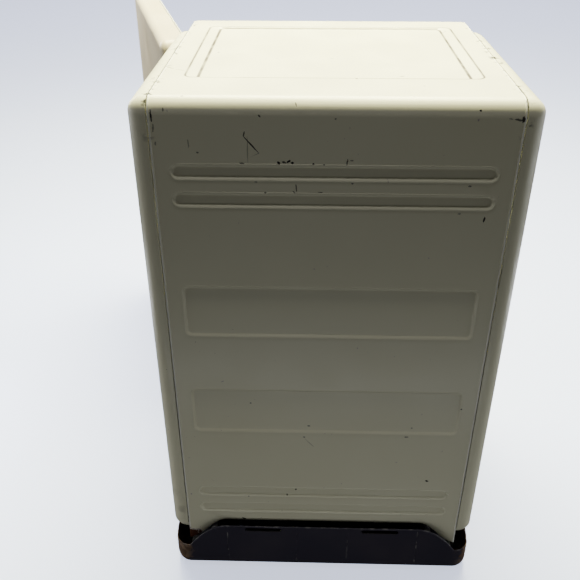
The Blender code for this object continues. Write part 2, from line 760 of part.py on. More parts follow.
def loop_outline(circles, grow):
    """Anticlockwise outline of a belt round circles of (x, y, radius), grown outwards."""
    points = []
    count = len(circles)
    normals = []
    for i in range(count):
        x, y, r = circles[i]
        x2, y2, r2 = circles[(i + 1) % count]
        along = Vector((x2 - x, y2 - y))
        lean = math.asin((r - r2) / along.length)
        normals.append(math.atan2(along.y, along.x) - math.pi / 2 + lean)
    for i in range(count):
        x, y, r = circles[i]
        start, end = normals[i - 1], normals[i]
        while end < start:
            end += 2 * math.pi
        steps = math.ceil((end - start) / math.radians(12))
        for k in range(steps + 1):
            angle = start + (end - start) * k / steps
            points.append((x + (r + grow) * math.cos(angle), y + (r + grow) * math.sin(angle)))
    return points


def make_loop(name, circles, gap, thickness, low, high, look):
    """A belt or chain as a closed band that stays clear of its wheels by gap."""
    inner = loop_outline(circles, gap)
    outer = loop_outline(circles, gap + thickness)
    levels = ((outer, low), (outer, high), (inner, high), (inner, low))
    rings = [[(a, b, z) for a, b in outline] for outline, z in levels]
    return loft(name, rings, look, closed=True)


def make_motor(look):
    x, y = MOTOR_XY
    motor = turned("motor", [(0.043, 0.018), (0.045, 0.021), (0.045, 0.066), (0.041, 0.070)], look, MOTOR_XY)
    foot = block("motor_foot", (x - 0.056, x + 0.056), (y - 0.030, y + 0.057), (0.0145, 0.0195), look)
    return join(motor, foot)


# Door ---------------------------------------------------------------------------------


def door_outline():
    """(centre, half size) of the door in its closed place, seen from the hinge axis."""
    centre = ((DOOR_TOP + DOOR_BOTTOM) / 2, -HINGE_X)
    half = ((DOOR_TOP - DOOR_BOTTOM) / 2, HALF_WIDTH)
    return centre, half


def make_door_pan(look, parent):
    centre, half = door_outline()
    face = DOOR_REAR - DOOR_THICKNESS
    return pan(
        "door_outer_pan", centre, half, DOOR_CORNER, DOOR_FILLET, DOOR_REAR, face, look, "Y", parent, True
    )


def make_door_inner_panel(look, parent):
    """Flat border under the gasket, stepping in to a shallow tray."""
    centre, half = door_outline()
    rim = DOOR_REAR - 0.0005
    steps = ((0.002, rim), (0.040, rim), (0.044, rim - 0.002), (0.052, rim - 0.012), (0.058, rim - 0.014))
    rings = []
    for inset, y in reversed(steps):
        rings.append([(a, b, y) for a, b in inset_rectangle(centre, half, DOOR_CORNER + 0.012, inset)])
    rings = rings[::-1]
    return smooth_round(sheet("door_inner_panel", rings, look, "Y", parent))


def make_gasket(look, parent):
    centre, half = door_outline()
    y = DOOR_REAR
    section = [(0.0035, y - 0.0002), (0.0035, y + 0.0008), (0.0010, y + 0.0013), (0.0010, y + 0.0038)]
    section += [(0.0024, y + 0.0050), (0.0240, y + 0.0050), (0.0255, y + 0.0036), (0.0255, y - 0.0002)]
    loops = [inset_rectangle(centre, half, DOOR_CORNER, inset) for inset, _ in section]
    rings = [[(a, b, level) for a, b in loop] for loop, (_, level) in zip(loops, section)]
    return smooth_round(loft("door_gasket", rings, look, axis="Y", parent=parent, closed=True))


def make_door_handle(look, parent):
    """Upright pull near the free edge of the door."""
    near = DOOR_REAR - DOOR_THICKNESS - CLEARANCE
    grip, bend = near - 0.030, near - 0.021
    outline = [(0.400, near), (0.400, bend), (0.412, grip), (0.548, grip), (0.560, bend), (0.560, near)]
    outline += [(0.546, near), (0.546, bend + 0.005), (0.540, grip + 0.009), (0.420, grip + 0.009)]
    outline += [(0.414, bend + 0.005), (0.414, near)]
    outline = [(y, z) for z, y in outline]
    handle = prism("door_handle", outline, -0.497, -0.479, look, axis="X", parent=parent)
    return round_edges(handle, 0.003)


def make_hinge_leaf(name, middle, look, frame_side, parent=None):
    """Leaf with its knuckles, about an axis at x = y = 0: one knuckle, or the two outside it."""
    near, far = (0.0056, 0.040) if frame_side else (-0.0056, -0.0255)
    spans = [(-0.010, 0.010)] if frame_side else [(-0.030, -0.0103), (0.0103, 0.030)]
    half, step = 0.0294, 0.0006
    outline = [(far, middle + half), (far, middle - half), (near, middle - half)]
    for low, high in spans:
        tongue = (middle + low + step, middle + high - step)
        outline += [(near, tongue[0]), (0.0, tongue[0]), (0.0, tongue[1]), (near, tongue[1])]
    outline.append((near, middle + half))
    outline = [p for i, p in enumerate(outline) if math.dist(p, outline[i - 1]) > 1e-6]
    plate = (HALF_WIDTH + CLEARANCE - HINGE_X, HALF_WIDTH + CLEARANCE + 0.002 - HINGE_X)
    leaf = prism(name, outline, *plate, look, axis="X", parent=parent)
    for low, high in spans:
        span = [(0.005, middle + low), (0.005, middle + high)]
        join(leaf, turned("knuckle", span, look, parent=parent, sides=16))
    bore = [(0.0025, middle - 0.04), (0.0025, middle + 0.04)]
    return cut(leaf, turned("pin_hole", bore, look, parent=parent, sides=16))


def make_hinge_pin(name, middle, look):
    profile = [(0.0022, middle - 0.032), (0.0022, middle + 0.0303), (0.0036, middle + 0.0303)]
    profile += [(0.0036, middle + 0.0325), (0.0022, middle + 0.0335)]
    return turned(name, profile, look, (HINGE_X, HINGE_Y), sides=12)


# Controls -----------------------------------------------------------------------------


def make_control_panel(look):
    x = (-PANEL_HALF_WIDTH, PANEL_HALF_WIDTH)
    panel = block("control_panel", x, (PANEL_FRONT, PANEL_REAR), (PANEL_BOTTOM, PANEL_TOP), look)
    panel = round_edges(panel, 0.0025)
    bores = ((KNOB_X, 0.0042), (START_X, 0.0078), (STOP_X, 0.0078), (LAMP_X, 0.0048), (KEY_X, 0.0088))
    for x, radius in bores:
        hole = [(radius, PANEL_FRONT - 0.01), (radius, PANEL_REAR - 0.0016)]
        cut(panel, turned("control_hole", hole, look, (CONTROL_Z, x), "Y", sides=24))
    return panel


def control(name, profile, look, parent=None, x=0.0, z=0.0, sides=20):
    """A control turned about Y, whose heights are measured from the strip's front face."""
    return turned(name, profile, look, (z, x), "Y", parent, sides=sides)


def make_knob(look, parent):
    profile = [(0.0038, 0.0090), (0.0038, -0.0006), (0.0120, -0.0006), (0.0120, -0.0030)]
    profile += [(0.0100, -0.0040), (0.0092, -0.0150), (0.0080, -0.0165)]
    knob = control("selector_knob", profile, look, parent, sides=24)
    pointer = block("pointer", (-0.0012, 0.0012), (-0.0172, -0.0140), (0.0, 0.0088), look, parent)
    return join(knob, pointer)


def make_key_cylinder(look, parent):
    profile = [(0.0084, 0.0090), (0.0084, -0.0020), (0.0078, -0.0028)]
    cylinder = control("key_cylinder", profile, look, parent, sides=24)
    slot = block("key_slot", (-0.0009, 0.0009), (-0.0040, 0.0040), (-0.0045, 0.0045), look, parent)
    return cut(cylinder, slot)


# Assembly -----------------------------------------------------------------------------


def build_cabinet(looks):
    cream, steel, iron = looks["cream"], looks["galvanised"], looks["iron"]
    make_base_pan(looks["black"])
    make_base_frame(steel)
    make_cord_gland(looks["plastic"])
    make_side_panel("left_side_panel", -1, cream)
    make_side_panel("right_side_panel", 1, cream)
    make_wrap(cream)
    make_front_frame(cream)
    make_upright("left_upright", -1, steel)
    make_upright("right_upright", 1, steel)
    make_top_crossbeam(steel)
    make_chamber_floor(steel)
    make_side_liner("left_liner", -1, looks["liner"])
    make_side_liner("right_liner", 1, looks["liner"])
    make_back_liner(looks["liner"])
    for name, side in (("left", -1), ("right", 1)):
        centre = (side * SCREW_X, 0.0)
        radius, low, high = LOWER_BEARING
        tube(f"{name}_lower_bearing", radius, BEARING_BORE, low, high, iron, centre)
        low, high = BEAM_BOTTOM, BEAM_TOP - 0.0028
        tube(f"{name}_upper_bearing", UPPER_BEARING_RADIUS, BEARING_BORE, low, high, iron, centre)
    make_motor(looks["motor"])
    turned("motor_capacitor", CAPACITOR_PROFILE, looks["plastic"], CAPACITOR_XY)
    screws = [(-SCREW_X, 0.0, SCREW_SPROCKET[1]), (SCREW_X, 0.0, SCREW_SPROCKET[1])]
    chain = screws + [(*JACKSHAFT_XY, DRIVE_SPROCKET[1])]
    make_loop("drive_chain", chain, 0.001, 0.004, CHAIN_Z, CHAIN_Z + CHAIN_HEIGHT, iron)
    belt = [(*JACKSHAFT_XY, LARGE_PULLEY), (*MOTOR_XY, SMALL_PULLEY)]
    make_loop("drive_belt", belt, 0.0005, 0.003, BELT_Z, BELT_Z + BELT_HEIGHT, looks["rubber"])
    block("door_switch", *DOOR_SWITCH, looks["plastic"], bevel=0.001)
    block("catch_plate", *CATCH_PLATE, looks["zinc"])
    make_control_panel(looks["panel"])
    lamp = [(0.0044, 0.0090), (0.0044, -0.0012), (0.0032, -0.0026)]
    lamp = [(radius, PANEL_FRONT + height) for radius, height in lamp]
    control("pilot_lamp", lamp, looks["amber"], x=LAMP_X, z=CONTROL_Z)


def build_hinges(looks, door):
    frame_axis = joint_axis("hinge_line", (HINGE_X, HINGE_Y, 0.0))
    for name, height in zip(("upper", "lower"), HINGE_HEIGHTS):
        make_hinge_leaf(f"{name}_hinge_frame_leaf", height, looks["zinc"], True, frame_axis)
        make_hinge_leaf(f"{name}_hinge_door_leaf", height, looks["zinc"], False, door)
        make_hinge_pin(f"{name}_hinge_pin", height, looks["zinc"])


def build_door(looks):
    door = joint_axis("door_hinge_axis", (HINGE_X, HINGE_Y, 0.0), DOOR_OPEN)
    make_door_pan(looks["cream"], door)
    make_door_inner_panel(looks["liner"], door)
    make_gasket(looks["vinyl"], door)
    make_door_handle(looks["chrome"], door)
    block("door_magnet", *MAGNET, looks["iron"], door)
    build_hinges(looks, door)


def build_container(looks):
    slide = joint_axis("container_slide_axis", (0.0, 0.0, 0.0))
    make_container(looks["bin"], slide)
    make_container_handle(looks["chrome"], slide)
    rear = joint_axis("rear_roller_axis", (0.0, REAR_ROLLER_Y, ROLLER_AXLE_Z))
    make_rollers("rear_rollers", 0.156, 0.171, looks["plastic"], rear)
    front = joint_axis("front_roller_axis", (0.0, FRONT_ROLLER_Y, ROLLER_AXLE_Z))
    make_rollers("front_rollers", 0.178, 0.194, looks["plastic"], front)


def build_ram(looks):
    ram = joint_axis("ram_axis", (0.0, 0.0, 0.0))
    make_crosshead(looks["galvanised"], ram)
    make_ram_plate(looks["galvanised"], ram)
    for name, side in (("left", -1), ("right", 1)):
        make_strut(f"{name}_ram_strut", side, looks["galvanised"], ram)
        make_drive_nut(f"{name}_drive_nut", side, looks["bronze"], ram)
        screw = joint_axis(f"{name}_screw_axis", (side * SCREW_X, 0.0, 0.0))
        make_power_screw(f"{name}_power_screw", looks["zinc"], screw)
        bore = SCREW_RADIUS + CLEARANCE
        make_sprocket(f"{name}_sprocket", *SCREW_SPROCKET, bore, looks["iron"], screw)


def build_drive(looks):
    jackshaft = joint_axis("jackshaft_axis", (*JACKSHAFT_XY, 0.0))
    turned("jackshaft", [(0.006, 0.0065), (0.006, 0.096)], looks["zinc"], parent=jackshaft, sides=16)
    make_sprocket("drive_sprocket", *DRIVE_SPROCKET, WHEEL_BORE, looks["iron"], jackshaft)
    low, high = BELT_Z - 0.001, BELT_Z + BELT_HEIGHT + 0.001
    tube("large_pulley", LARGE_PULLEY, WHEEL_BORE, low, high, looks["aluminium"], parent=jackshaft, sides=32)
    motor_axis = joint_axis("motor_axis", (*MOTOR_XY, 0.0))
    pulley = [(0.006, 0.0704), (0.006, low), (SMALL_PULLEY, low), (SMALL_PULLEY, high)]
    pulley += [(0.006, high), (0.006, 0.094)]
    turned("motor_pulley", pulley, looks["aluminium"], parent=motor_axis)


def build_controls(looks):
    def place(name, x):
        return joint_axis(name, (x, PANEL_FRONT, CONTROL_Z))

    make_knob(looks["plastic"], place("knob_axis", KNOB_X))
    button = [(0.0074, 0.0055), (0.0074, -0.0040), (0.0064, -0.0050)]
    control("start_button", button, looks["green"], place("start_axis", START_X))
    control("stop_button", button, looks["red"], place("stop_axis", STOP_X))
    make_key_cylinder(looks["zinc"], place("key_axis", KEY_X))


def build_looks():
    return {
        "cream": material("cream_enamel", (0.78, 0.76, 0.66), 0.35),
        "black": material("black_enamel", (0.015, 0.013, 0.015), 0.40),
        "liner": material("liner_paint", (0.62, 0.63, 0.62), 0.45),
        "vinyl": material("white_vinyl", (0.85, 0.85, 0.83), 0.50),
        "galvanised": material("galvanised_steel", (0.55, 0.56, 0.57), 0.45, 1.0),
        "zinc": material("zinc_plated_steel", (0.68, 0.68, 0.66), 0.30, 1.0),
        "iron": material("dark_steel", (0.16, 0.16, 0.16), 0.50, 0.8),
        "bronze": material("bronze", (0.55, 0.38, 0.17), 0.40, 1.0),
        "aluminium": material("cast_aluminium", (0.66, 0.67, 0.68), 0.40, 1.0),
        "chrome": material("chrome", (0.80, 0.80, 0.80), 0.12, 1.0),
        "bin": material("bin_enamel", (0.30, 0.33, 0.34), 0.45),
        "motor": material("motor_paint", (0.08, 0.10, 0.12), 0.50),
        "plastic": material("black_plastic", (0.02, 0.02, 0.02), 0.45),
        "panel": material("brown_panel", (0.10, 0.07, 0.05), 0.40),
        "rubber": material("belt_rubber", (0.015, 0.015, 0.015), 0.80),
        "green": material("green_plastic", (0.05, 0.30, 0.12), 0.35),
        "red": material("red_plastic", (0.55, 0.04, 0.03), 0.35),
        "amber": material("amber_lens", (0.85, 0.35, 0.04), 0.15),
    }


def main():
    clear_scene()
    looks = build_looks()
    build_cabinet(looks)
    build_door(looks)
    build_container(looks)
    build_ram(looks)
    build_drive(looks)
    build_controls(looks)


main()
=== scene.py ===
import json
import random
from math import asin, atan2, ceil, copysign, cos, degrees, hypot, pi, radians, sin

import bmesh
import bpy
from mathutils import Matrix, Vector
from mathutils.geometry import delaunay_2d_cdt


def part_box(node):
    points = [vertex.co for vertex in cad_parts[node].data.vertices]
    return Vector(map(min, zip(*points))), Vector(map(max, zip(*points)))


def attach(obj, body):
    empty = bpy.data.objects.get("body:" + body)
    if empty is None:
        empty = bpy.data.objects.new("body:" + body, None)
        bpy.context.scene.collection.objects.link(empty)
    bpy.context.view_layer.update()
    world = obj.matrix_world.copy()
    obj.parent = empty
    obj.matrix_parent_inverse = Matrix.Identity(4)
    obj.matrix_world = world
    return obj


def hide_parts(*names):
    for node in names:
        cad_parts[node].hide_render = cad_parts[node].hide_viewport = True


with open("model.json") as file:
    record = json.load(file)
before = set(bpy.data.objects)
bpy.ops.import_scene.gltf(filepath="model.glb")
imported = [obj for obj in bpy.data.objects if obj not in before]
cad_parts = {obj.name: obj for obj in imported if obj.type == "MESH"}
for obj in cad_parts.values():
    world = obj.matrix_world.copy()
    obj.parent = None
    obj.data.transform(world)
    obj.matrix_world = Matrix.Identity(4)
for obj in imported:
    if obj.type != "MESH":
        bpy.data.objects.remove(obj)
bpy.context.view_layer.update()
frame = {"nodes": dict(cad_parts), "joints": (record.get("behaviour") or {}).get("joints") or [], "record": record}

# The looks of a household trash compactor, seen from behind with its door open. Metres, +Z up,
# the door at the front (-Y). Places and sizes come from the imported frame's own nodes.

TURN = {"Z": (0, 1, 2), "X": (2, 0, 1), "Y": (1, 2, 0)}
SIDES = (("left", -1), ("right", 1))
SHEET = 0.0015


def hinge_place(joint_name):
    """The closed door's frame, turned open about its hinge line."""
    joint = next(j for j in frame["joints"] if j["name"] == joint_name)
    opened = radians(-joint["range_deg"][0])
    return Matrix.Translation((joint["pos_m"][0], joint["pos_m"][1], 0)) @ Matrix.Rotation(opened, 4, "Z")


def box_in(node, place):
    """Lowest and highest corner of a CAD node, measured in another frame."""
    inverse = place.inverted()
    points = [inverse @ vertex.co for vertex in frame["nodes"][node].data.vertices]
    return [Vector([pick(p[i] for p in points) for i in range(3)]) for pick in (min, max)]


DOOR = hinge_place("door_swing")


# Camera, light and floor ------------------------------------------------------------------


def add_object(name, data):
    obj = bpy.data.objects.new(name, data)
    bpy.context.scene.collection.objects.link(obj)
    return obj


def make_camera():
    data = bpy.data.cameras.new("camera")
    data.lens = 45.56
    data.sensor_width = 36.0
    data.clip_start = 0.05
    data.clip_end = 60.0
    camera = add_object("camera", data)
    camera.location = (0.0337, 1.1261, 1.1405)
    forward = Vector((0.02232, -0.85097, -0.52473))
    camera.rotation_euler = forward.to_track_quat("-Z", "Y").to_euler()
    bpy.context.scene.camera = camera


COOL = (0.97, 0.98, 1.0)


def area_light(name, place, target, size, power, colour=(1.0, 1.0, 1.0)):
    data = bpy.data.lights.new(name, "AREA")
    data.shape = "RECTANGLE"
    data.size, data.size_y = size
    data.energy = power
    data.color = colour
    lamp = add_object(name, data)
    lamp.location = place
    lamp.rotation_euler = (Vector(target) - Vector(place)).to_track_quat("-Z", "Y").to_euler()
    lamp.visible_camera = False


def make_lights():
    """A strong soft key above the front, one that skims down the back, and weak fills at the sides."""
    area_light("overhead", (0.0, -0.95, 2.4), (0.0, -0.45, 0.86), (1.4, 1.2), 420.0, (1.0, 0.98, 0.56))
    area_light("skimming", (0.0, 0.44, 2.6), (0.0, 0.44, 0.0), (1.4, 0.2), 9.0)
    area_light("front_softbox", (0.0, -4.6, 3.4), (0.0, -3.4, 0.0), (6.5, 4.0), 170.0)
    area_light("right_low_fill", (-1.9, 0.35, 0.15), (-0.25, 0.0, 0.1), (1.2, 0.25), 3.6, (0.93, 0.97, 1.0))
    for name, side in SIDES:
        area_light(f"{name}_rim", (side * 2.2, -0.5, 0.6), (side * 0.26, 0.1, 0.4), (1.0, 1.1), 11.0, COOL)
        area_light(f"{name}_low_rim", (side * 0.95, -0.05, 0.14), (side * 0.26, 0.1, 0.22), (0.5, 0.2), 1.4,
                   COOL)
    area_light("left_fill", (2.4, 0.35, 0.6), (0.25, 0.1, 0.3), (1.4, 1.0), 5.0, (0.95, 0.98, 1.0))
    area_light("rear_low_fill", (0.0, 0.7, 0.04), (0.0, 0.24, 0.3), (1.2, 0.1), 0.7, (0.95, 0.98, 1.0))
    area_light("door_light", (0.95, -0.75, 1.05), (0.34, -0.49, 0.6), (0.4, 0.4), 8.0)
    world = bpy.data.worlds.new("studio")
    world.use_nodes = True
    background = world.node_tree.nodes["Background"]
    background.inputs["Color"].default_value = (0.97, 0.96, 0.92, 1.0)
    background.inputs["Strength"].default_value = 0.036
    bpy.context.scene.world = world


def make_floor(look):
    """A wide floor that the object stands on, which throws no light back on it."""
    mesh = bpy.data.meshes.new("floor")
    corners = [(14.0 * x, 14.0 * y, -0.0006) for x, y in ((-1, -1), (1, -1), (1, 1), (-1, 1))]
    mesh.from_pydata(corners, [], [(0, 1, 2, 3)])
    floor = add_object("floor", mesh)
    floor.data.materials.append(look)
    floor.visible_diffuse = False
    floor.visible_glossy = False


# Outlines ---------------------------------------------------------------------------------


def smoothstep(value):
    value = min(max(value, 0.0), 1.0)
    return value * value * (3 - 2 * value)


def lerp(a, b, t):
    return a + (b - a) * t


def rounded_rectangle(centre, half, radius, steps=10):
    """Anticlockwise outline with steps segments round each corner; four radii may be given."""
    corners = ((1, -1, -90), (1, 1, 0), (-1, 1, 90), (-1, -1, 180))
    radii = radius if isinstance(radius, tuple) else (radius,) * 4
    points = []
    for (a, b, start), reach in zip(corners, radii):
        middle = (centre[0] + a * (half[0] - reach), centre[1] + b * (half[1] - reach))
        for i in range(steps + 1):
            angle = radians(start + 90 * i / steps)
            points.append((middle[0] + reach * cos(angle), middle[1] + reach * sin(angle)))
    return points


def inset_rectangle(centre, half, radius, inset, steps=10):
    smaller = (half[0] - inset, half[1] - inset)
    radii = radius if isinstance(radius, tuple) else (radius,) * 4
    return rounded_rectangle(centre, smaller, tuple(max(r - inset, 0.001) for r in radii), steps)


def circle(radius, sides=48, centre=(0.0, 0.0)):
    turns = [2 * pi * i / sides for i in range(sides)]
    return [(centre[0] + radius * cos(t), centre[1] + radius * sin(t)) for t in turns]


def eased(points, radius, steps=4):
    """The outline with each corner eased into a short curve."""
    result = []
    for i, point in enumerate(points):
        corner, before, after = Vector(point), Vector(points[i - 1]), Vector(points[(i + 1) % len(points)])
        reach = min(radius, 0.45 * (before - corner).length, 0.45 * (after - corner).length)
        start = corner + (before - corner).normalized() * reach
        end = corner + (after - corner).normalized() * reach
        for k in range(steps + 1):
            t = k / steps
            result.append(tuple(start * (1 - t) ** 2 + corner * 2 * t * (1 - t) + end * t**2))
    return result


def level(outline, height):
    return [(a, b, height) for a, b in outline]


def arc(centre, radius, start, end, steps):
    """Points of an arc, with its angles in degrees."""
    angles = [radians(lerp(start, end, i / steps)) for i in range(steps + 1)]
    return [(centre[0] + radius * cos(a), centre[1] + radius * sin(a)) for a in angles]


CREASE_REACH = 0.0022


class Pressing:
    """A shape pressed into a sheet, with an S-shaped wall between two rounded rectangles."""

    STEPS = (-0.6, -0.45, -0.3, -0.15, 0.0, 0.16, 0.34, 0.5, 0.66, 0.84, 1.0, 1.2)

    def __init__(self, centre, outer, outer_radius, inner, inner_radius, depth, dirt_and_shade=0.0, steps=8, bead=0.0):
        self.centre = centre
        self.bead = bead
        self.outer = (outer, outer_radius)
        self.inner = (inner, inner_radius)
        self.depth = depth
        self.dirt_and_shade = dirt_and_shade
        self.steps = steps

    def loops(self):
        outer = rounded_rectangle(self.centre, *self.outer, self.steps)
        inner = rounded_rectangle(self.centre, *self.inner, self.steps)
        steps = (*self.STEPS, 1.5) if self.dirt_and_shade > 0.5 else self.STEPS
        return [[(lerp(a[0], b[0], t), lerp(a[1], b[1], t)) for a, b in zip(outer, inner)] for t in steps]

    def distance(self, point, half, radius):
        across = abs(point.x - self.centre[0]) - half[0] + radius
        along = abs(point.y - self.centre[1]) - half[1] + radius
        return hypot(max(across, 0), max(along, 0)) + min(max(across, along), 0) - radius

    def share(self, point):
        """0 at the wall's outer edge and beyond, 1 at its inner edge and within."""
        inwards = -self.distance(point, *self.outer)
        if inwards <= 1e-6:
            return 0.0 if inwards < -2e-4 else 1e-4
        left = self.distance(point, *self.inner)
        return 1.0 if left <= -2e-4 else min(inwards / (inwards + max(left, 0)), 0.9999)

    def raised(self, point):
        """Height of the low bead that the press leaves round the wall's outer edge."""
        width = 0.6 * (self.outer[0][0] - self.inner[0][0])
        outwards = self.distance(point, *self.outer) if self.bead else 0.0
        return self.bead * sin(pi * outwards / width) if 0 < outwards < width else 0.0

    def creased(self, point, share):
        """1 in the crease at the wall's inner edge and less at its outer edge, fading beside them."""
        # The crease value darkens the paint in the crease: partly dirt, partly painted shade.
        if not self.dirt_and_shade or (self.bead and share == 0.0):
            return 0.0
        inner = max(0.0, 1 - abs(self.distance(point, *self.inner)) / CREASE_REACH)
        return max(inner, 0.65 * max(0.0, 1 - abs(self.distance(point, *self.outer)) / CREASE_REACH))


def wall(centre, half, radius, width, depth, dirt_and_shade=0.0, steps=8, bead=0.0):
    """A pressing whose wall is equally wide all round."""
    inner = (half[0] - width, half[1] - width)
    return Pressing(centre, half, radius, inner, max(radius - width, 0.001), depth, dirt_and_shade, steps, bead)


class Mark:
    """A chip or scratch in the paint: a ragged ellipse on the flat sheet."""

    def __init__(self, centre, half, turn, strength, seed, sides=18):
        chance = random.Random(seed)
        self.centre = Vector(centre)
        self.half = half
        self.along = Vector((cos(turn), sin(turn)))
        self.strength = strength
        self.rim = [chance.uniform(0.62, 1.15) for _ in range(sides)]

    def reach(self, turn):
        step = (turn / (2 * pi)) % 1.0 * len(self.rim)
        return lerp(self.rim[int(step) % len(self.rim)], self.rim[(int(step) + 1) % len(self.rim)],
                    step % 1.0)

    def loops(self):
        across = Vector((-self.along.y, self.along.x))
        made = []
        for grow in (0.0, 0.00025):
            loop = []
            for i, rim in enumerate(self.rim):
                turn = 2 * pi * i / len(self.rim)
                a = (self.half[0] * rim + grow) * cos(turn)
                b = (self.half[1] * rim + grow) * sin(turn)
                loop.append(self.centre + self.along * a + across * b)
            made.append(loop)
        return made

    def soil(self, point):
        offset = point - self.centre
        if abs(offset.x) + abs(offset.y) > 2 * max(self.half):
            return 0.0
        a = offset.dot(self.along) / self.half[0]
        b = offset.dot(Vector((-self.along.y, self.along.x))) / self.half[1]
        return self.strength if hypot(a, b) <= self.reach(atan2(b, a)) + 0.003 else 0.0


# Shapes -----------------------------------------------------------------------------------


class Shape:
    """Points and faces of one piece, which may hold several closed bodies such as rivets."""

    def __init__(self):
        self.points = []
        self.faces = []
        self.wear_and_shade = []
        self.soil = []

    def loft(self, rings, axis="Z", closed=False, move=None, wear_and_shade=None):
        """A skin through rings of equal point counts, capped at both ends or closed on itself."""
        first, count, rows = len(self.points), len(rings[0]), len(rings)
        for ring in rings:
            for point in ring:
                spot = Vector([point[i] for i in TURN[axis]])
                self.points.append(move @ spot if move else spot)
        self.wear_and_shade += wear_and_shade if wear_and_shade else [0.0] * (count * rows)
        self.soil += [0.0] * (count * rows)
        for i in range(rows if closed else rows - 1):
            low, high = first + i * count, first + ((i + 1) % rows) * count
            for j in range(count):
                k = (j + 1) % count
                self.faces.append((low + j, low + k, high + k, high + j))
        if not closed:
            self.faces.append(tuple(range(first, first + count)))
            self.faces.append(tuple(range(first + (rows - 1) * count, first + rows * count)))
        return self

    def turned(self, profile, axis="Z", centre=(0.0, 0.0), closed=False, sides=48, move=None):
        rings = [level(circle(radius, sides, centre), height) for radius, height in profile]
        return self.loft(rings, axis, closed, move)

    def prism(self, outline, low, high, axis="Z", move=None):
        return self.loft([level(outline, low), level(outline, high)], axis, move=move)

    def block(self, low, high, move=None):
        outline = [(low[0], low[1]), (high[0], low[1]), (high[0], high[1]), (low[0], high[1])]
        return self.prism(outline, low[2], high[2], move=move)

    def pressed(self, outline, pressings, lines, bend, marks=()):
        """A sheet laid out flat with pressings and worn marks, and then bent to its place."""
        points = [Vector(p) for p in outline]
        edges = []
        for loop in [loop for item in (*pressings, *marks) for loop in item.loops()]:
            first = len(points)
            points += [Vector(p) for p in loop]
            edges += [(first + i, first + (i + 1) % len(loop)) for i in range(len(loop))]
        for line in lines:
            first = len(points)
            points += [Vector(p) for p in line]
            edges += [(first + i, first + i + 1) for i in range(len(line) - 1)]
        found = delaunay_2d_cdt(points, edges, [list(range(len(outline)))], 1, 1e-6)
        start = len(self.points)
        for point in found[0]:
            shares = [pressing.share(point) for pressing in pressings]
            depth = sum(p.depth * smoothstep(share) for p, share in zip(pressings, shares))
            depth -= sum(pressing.raised(point) for pressing in pressings)
            self.points.append(bend(point.x, point.y, depth))
            # How dark the point is painted in a crease: partly dirt, partly painted shade; the base keeps its real
            # wear in the same values.
            self.wear_and_shade.append(max(p.dirt_and_shade * p.creased(point, share) for p, share in zip(pressings, shares)))
            self.soil.append(max((mark.soil(point) for mark in marks), default=0.0))
        self.faces += [tuple(start + i for i in face) for face in found[2]]
        return self

    def mesh(self, name, outwards=None):
        """The mesh, with its faces pointing out; an open sheet's point the way outwards says."""
        made = bpy.data.meshes.new(name)
        made.from_pydata(self.points, [], self.faces)
        # Point values: real wear on the base, crease darkening (partly dirt, partly painted shade) on the wrap,
        # and worn marks.
        for key, values in (("wear_and_shade", self.wear_and_shade), ("soil", self.soil)):
            made.attributes.new(key, "FLOAT", "POINT").data.foreach_set("value", values)
        work = bmesh.new()
        work.from_mesh(made)
        bmesh.ops.recalc_face_normals(work, faces=work.faces)
        work.to_mesh(made)
        work.free()
        if outwards and sum(f.normal.dot(outwards) * f.area for f in made.polygons) < 0:
            made.flip_normals()
        return made


def cut(mesh, cutters):
    """The mesh with each cutter's shape taken out of it."""
    obj = add_object("cut_piece", mesh)
    tools = []
    for cutter in cutters:
        tools.append(add_object("cutter", cutter.mesh("cutter")))
        modifier = obj.modifiers.new("cut", "BOOLEAN")
        modifier.object = tools[-1]
        modifier.operation = "DIFFERENCE"
        modifier.solver = "EXACT"
    made = bpy.data.meshes.new_from_object(obj.evaluated_get(bpy.context.evaluated_depsgraph_get()))
    for spent in [obj, *tools]:
        bpy.data.objects.remove(spent)
    return made


def piece(name, shape, look, body, nodes=(), place=None, bevel=0.0, sharp=38, thickness=0.0, **extra):
    """An object from a shape, riding on a body and standing for the CAD nodes that it replaces."""
    mesh = shape.mesh(name, extra.get("outwards"))
    if "cutters" in extra:
        mesh = cut(mesh, extra["cutters"])
    mesh.name = name
    obj = add_object(name, mesh)
    mesh.materials.clear()
    mesh.materials.append(look[0])
    mesh.shade_smooth()
    mesh.set_sharp_from_angle(angle=radians(sharp))
    if place:
        obj.matrix_world = place
    if thickness:
        sheet = obj.modifiers.new("thickness", "SOLIDIFY")
        sheet.thickness = thickness
        sheet.offset = -1
        sheet.use_even_offset = True
    if bevel:
        rounding = obj.modifiers.new("rounded_edges", "BEVEL")
        rounding.width = bevel
        rounding.segments = extra.get("segments", 3)
        rounding.limit_method = "ANGLE"
        rounding.angle_limit = radians(42)
    obj.modifiers.new("even_shading", "WEIGHTED_NORMAL").keep_sharp = True
    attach(obj, body)
    if nodes:
        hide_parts(*nodes)
    return obj


# Materials --------------------------------------------------------------------------------


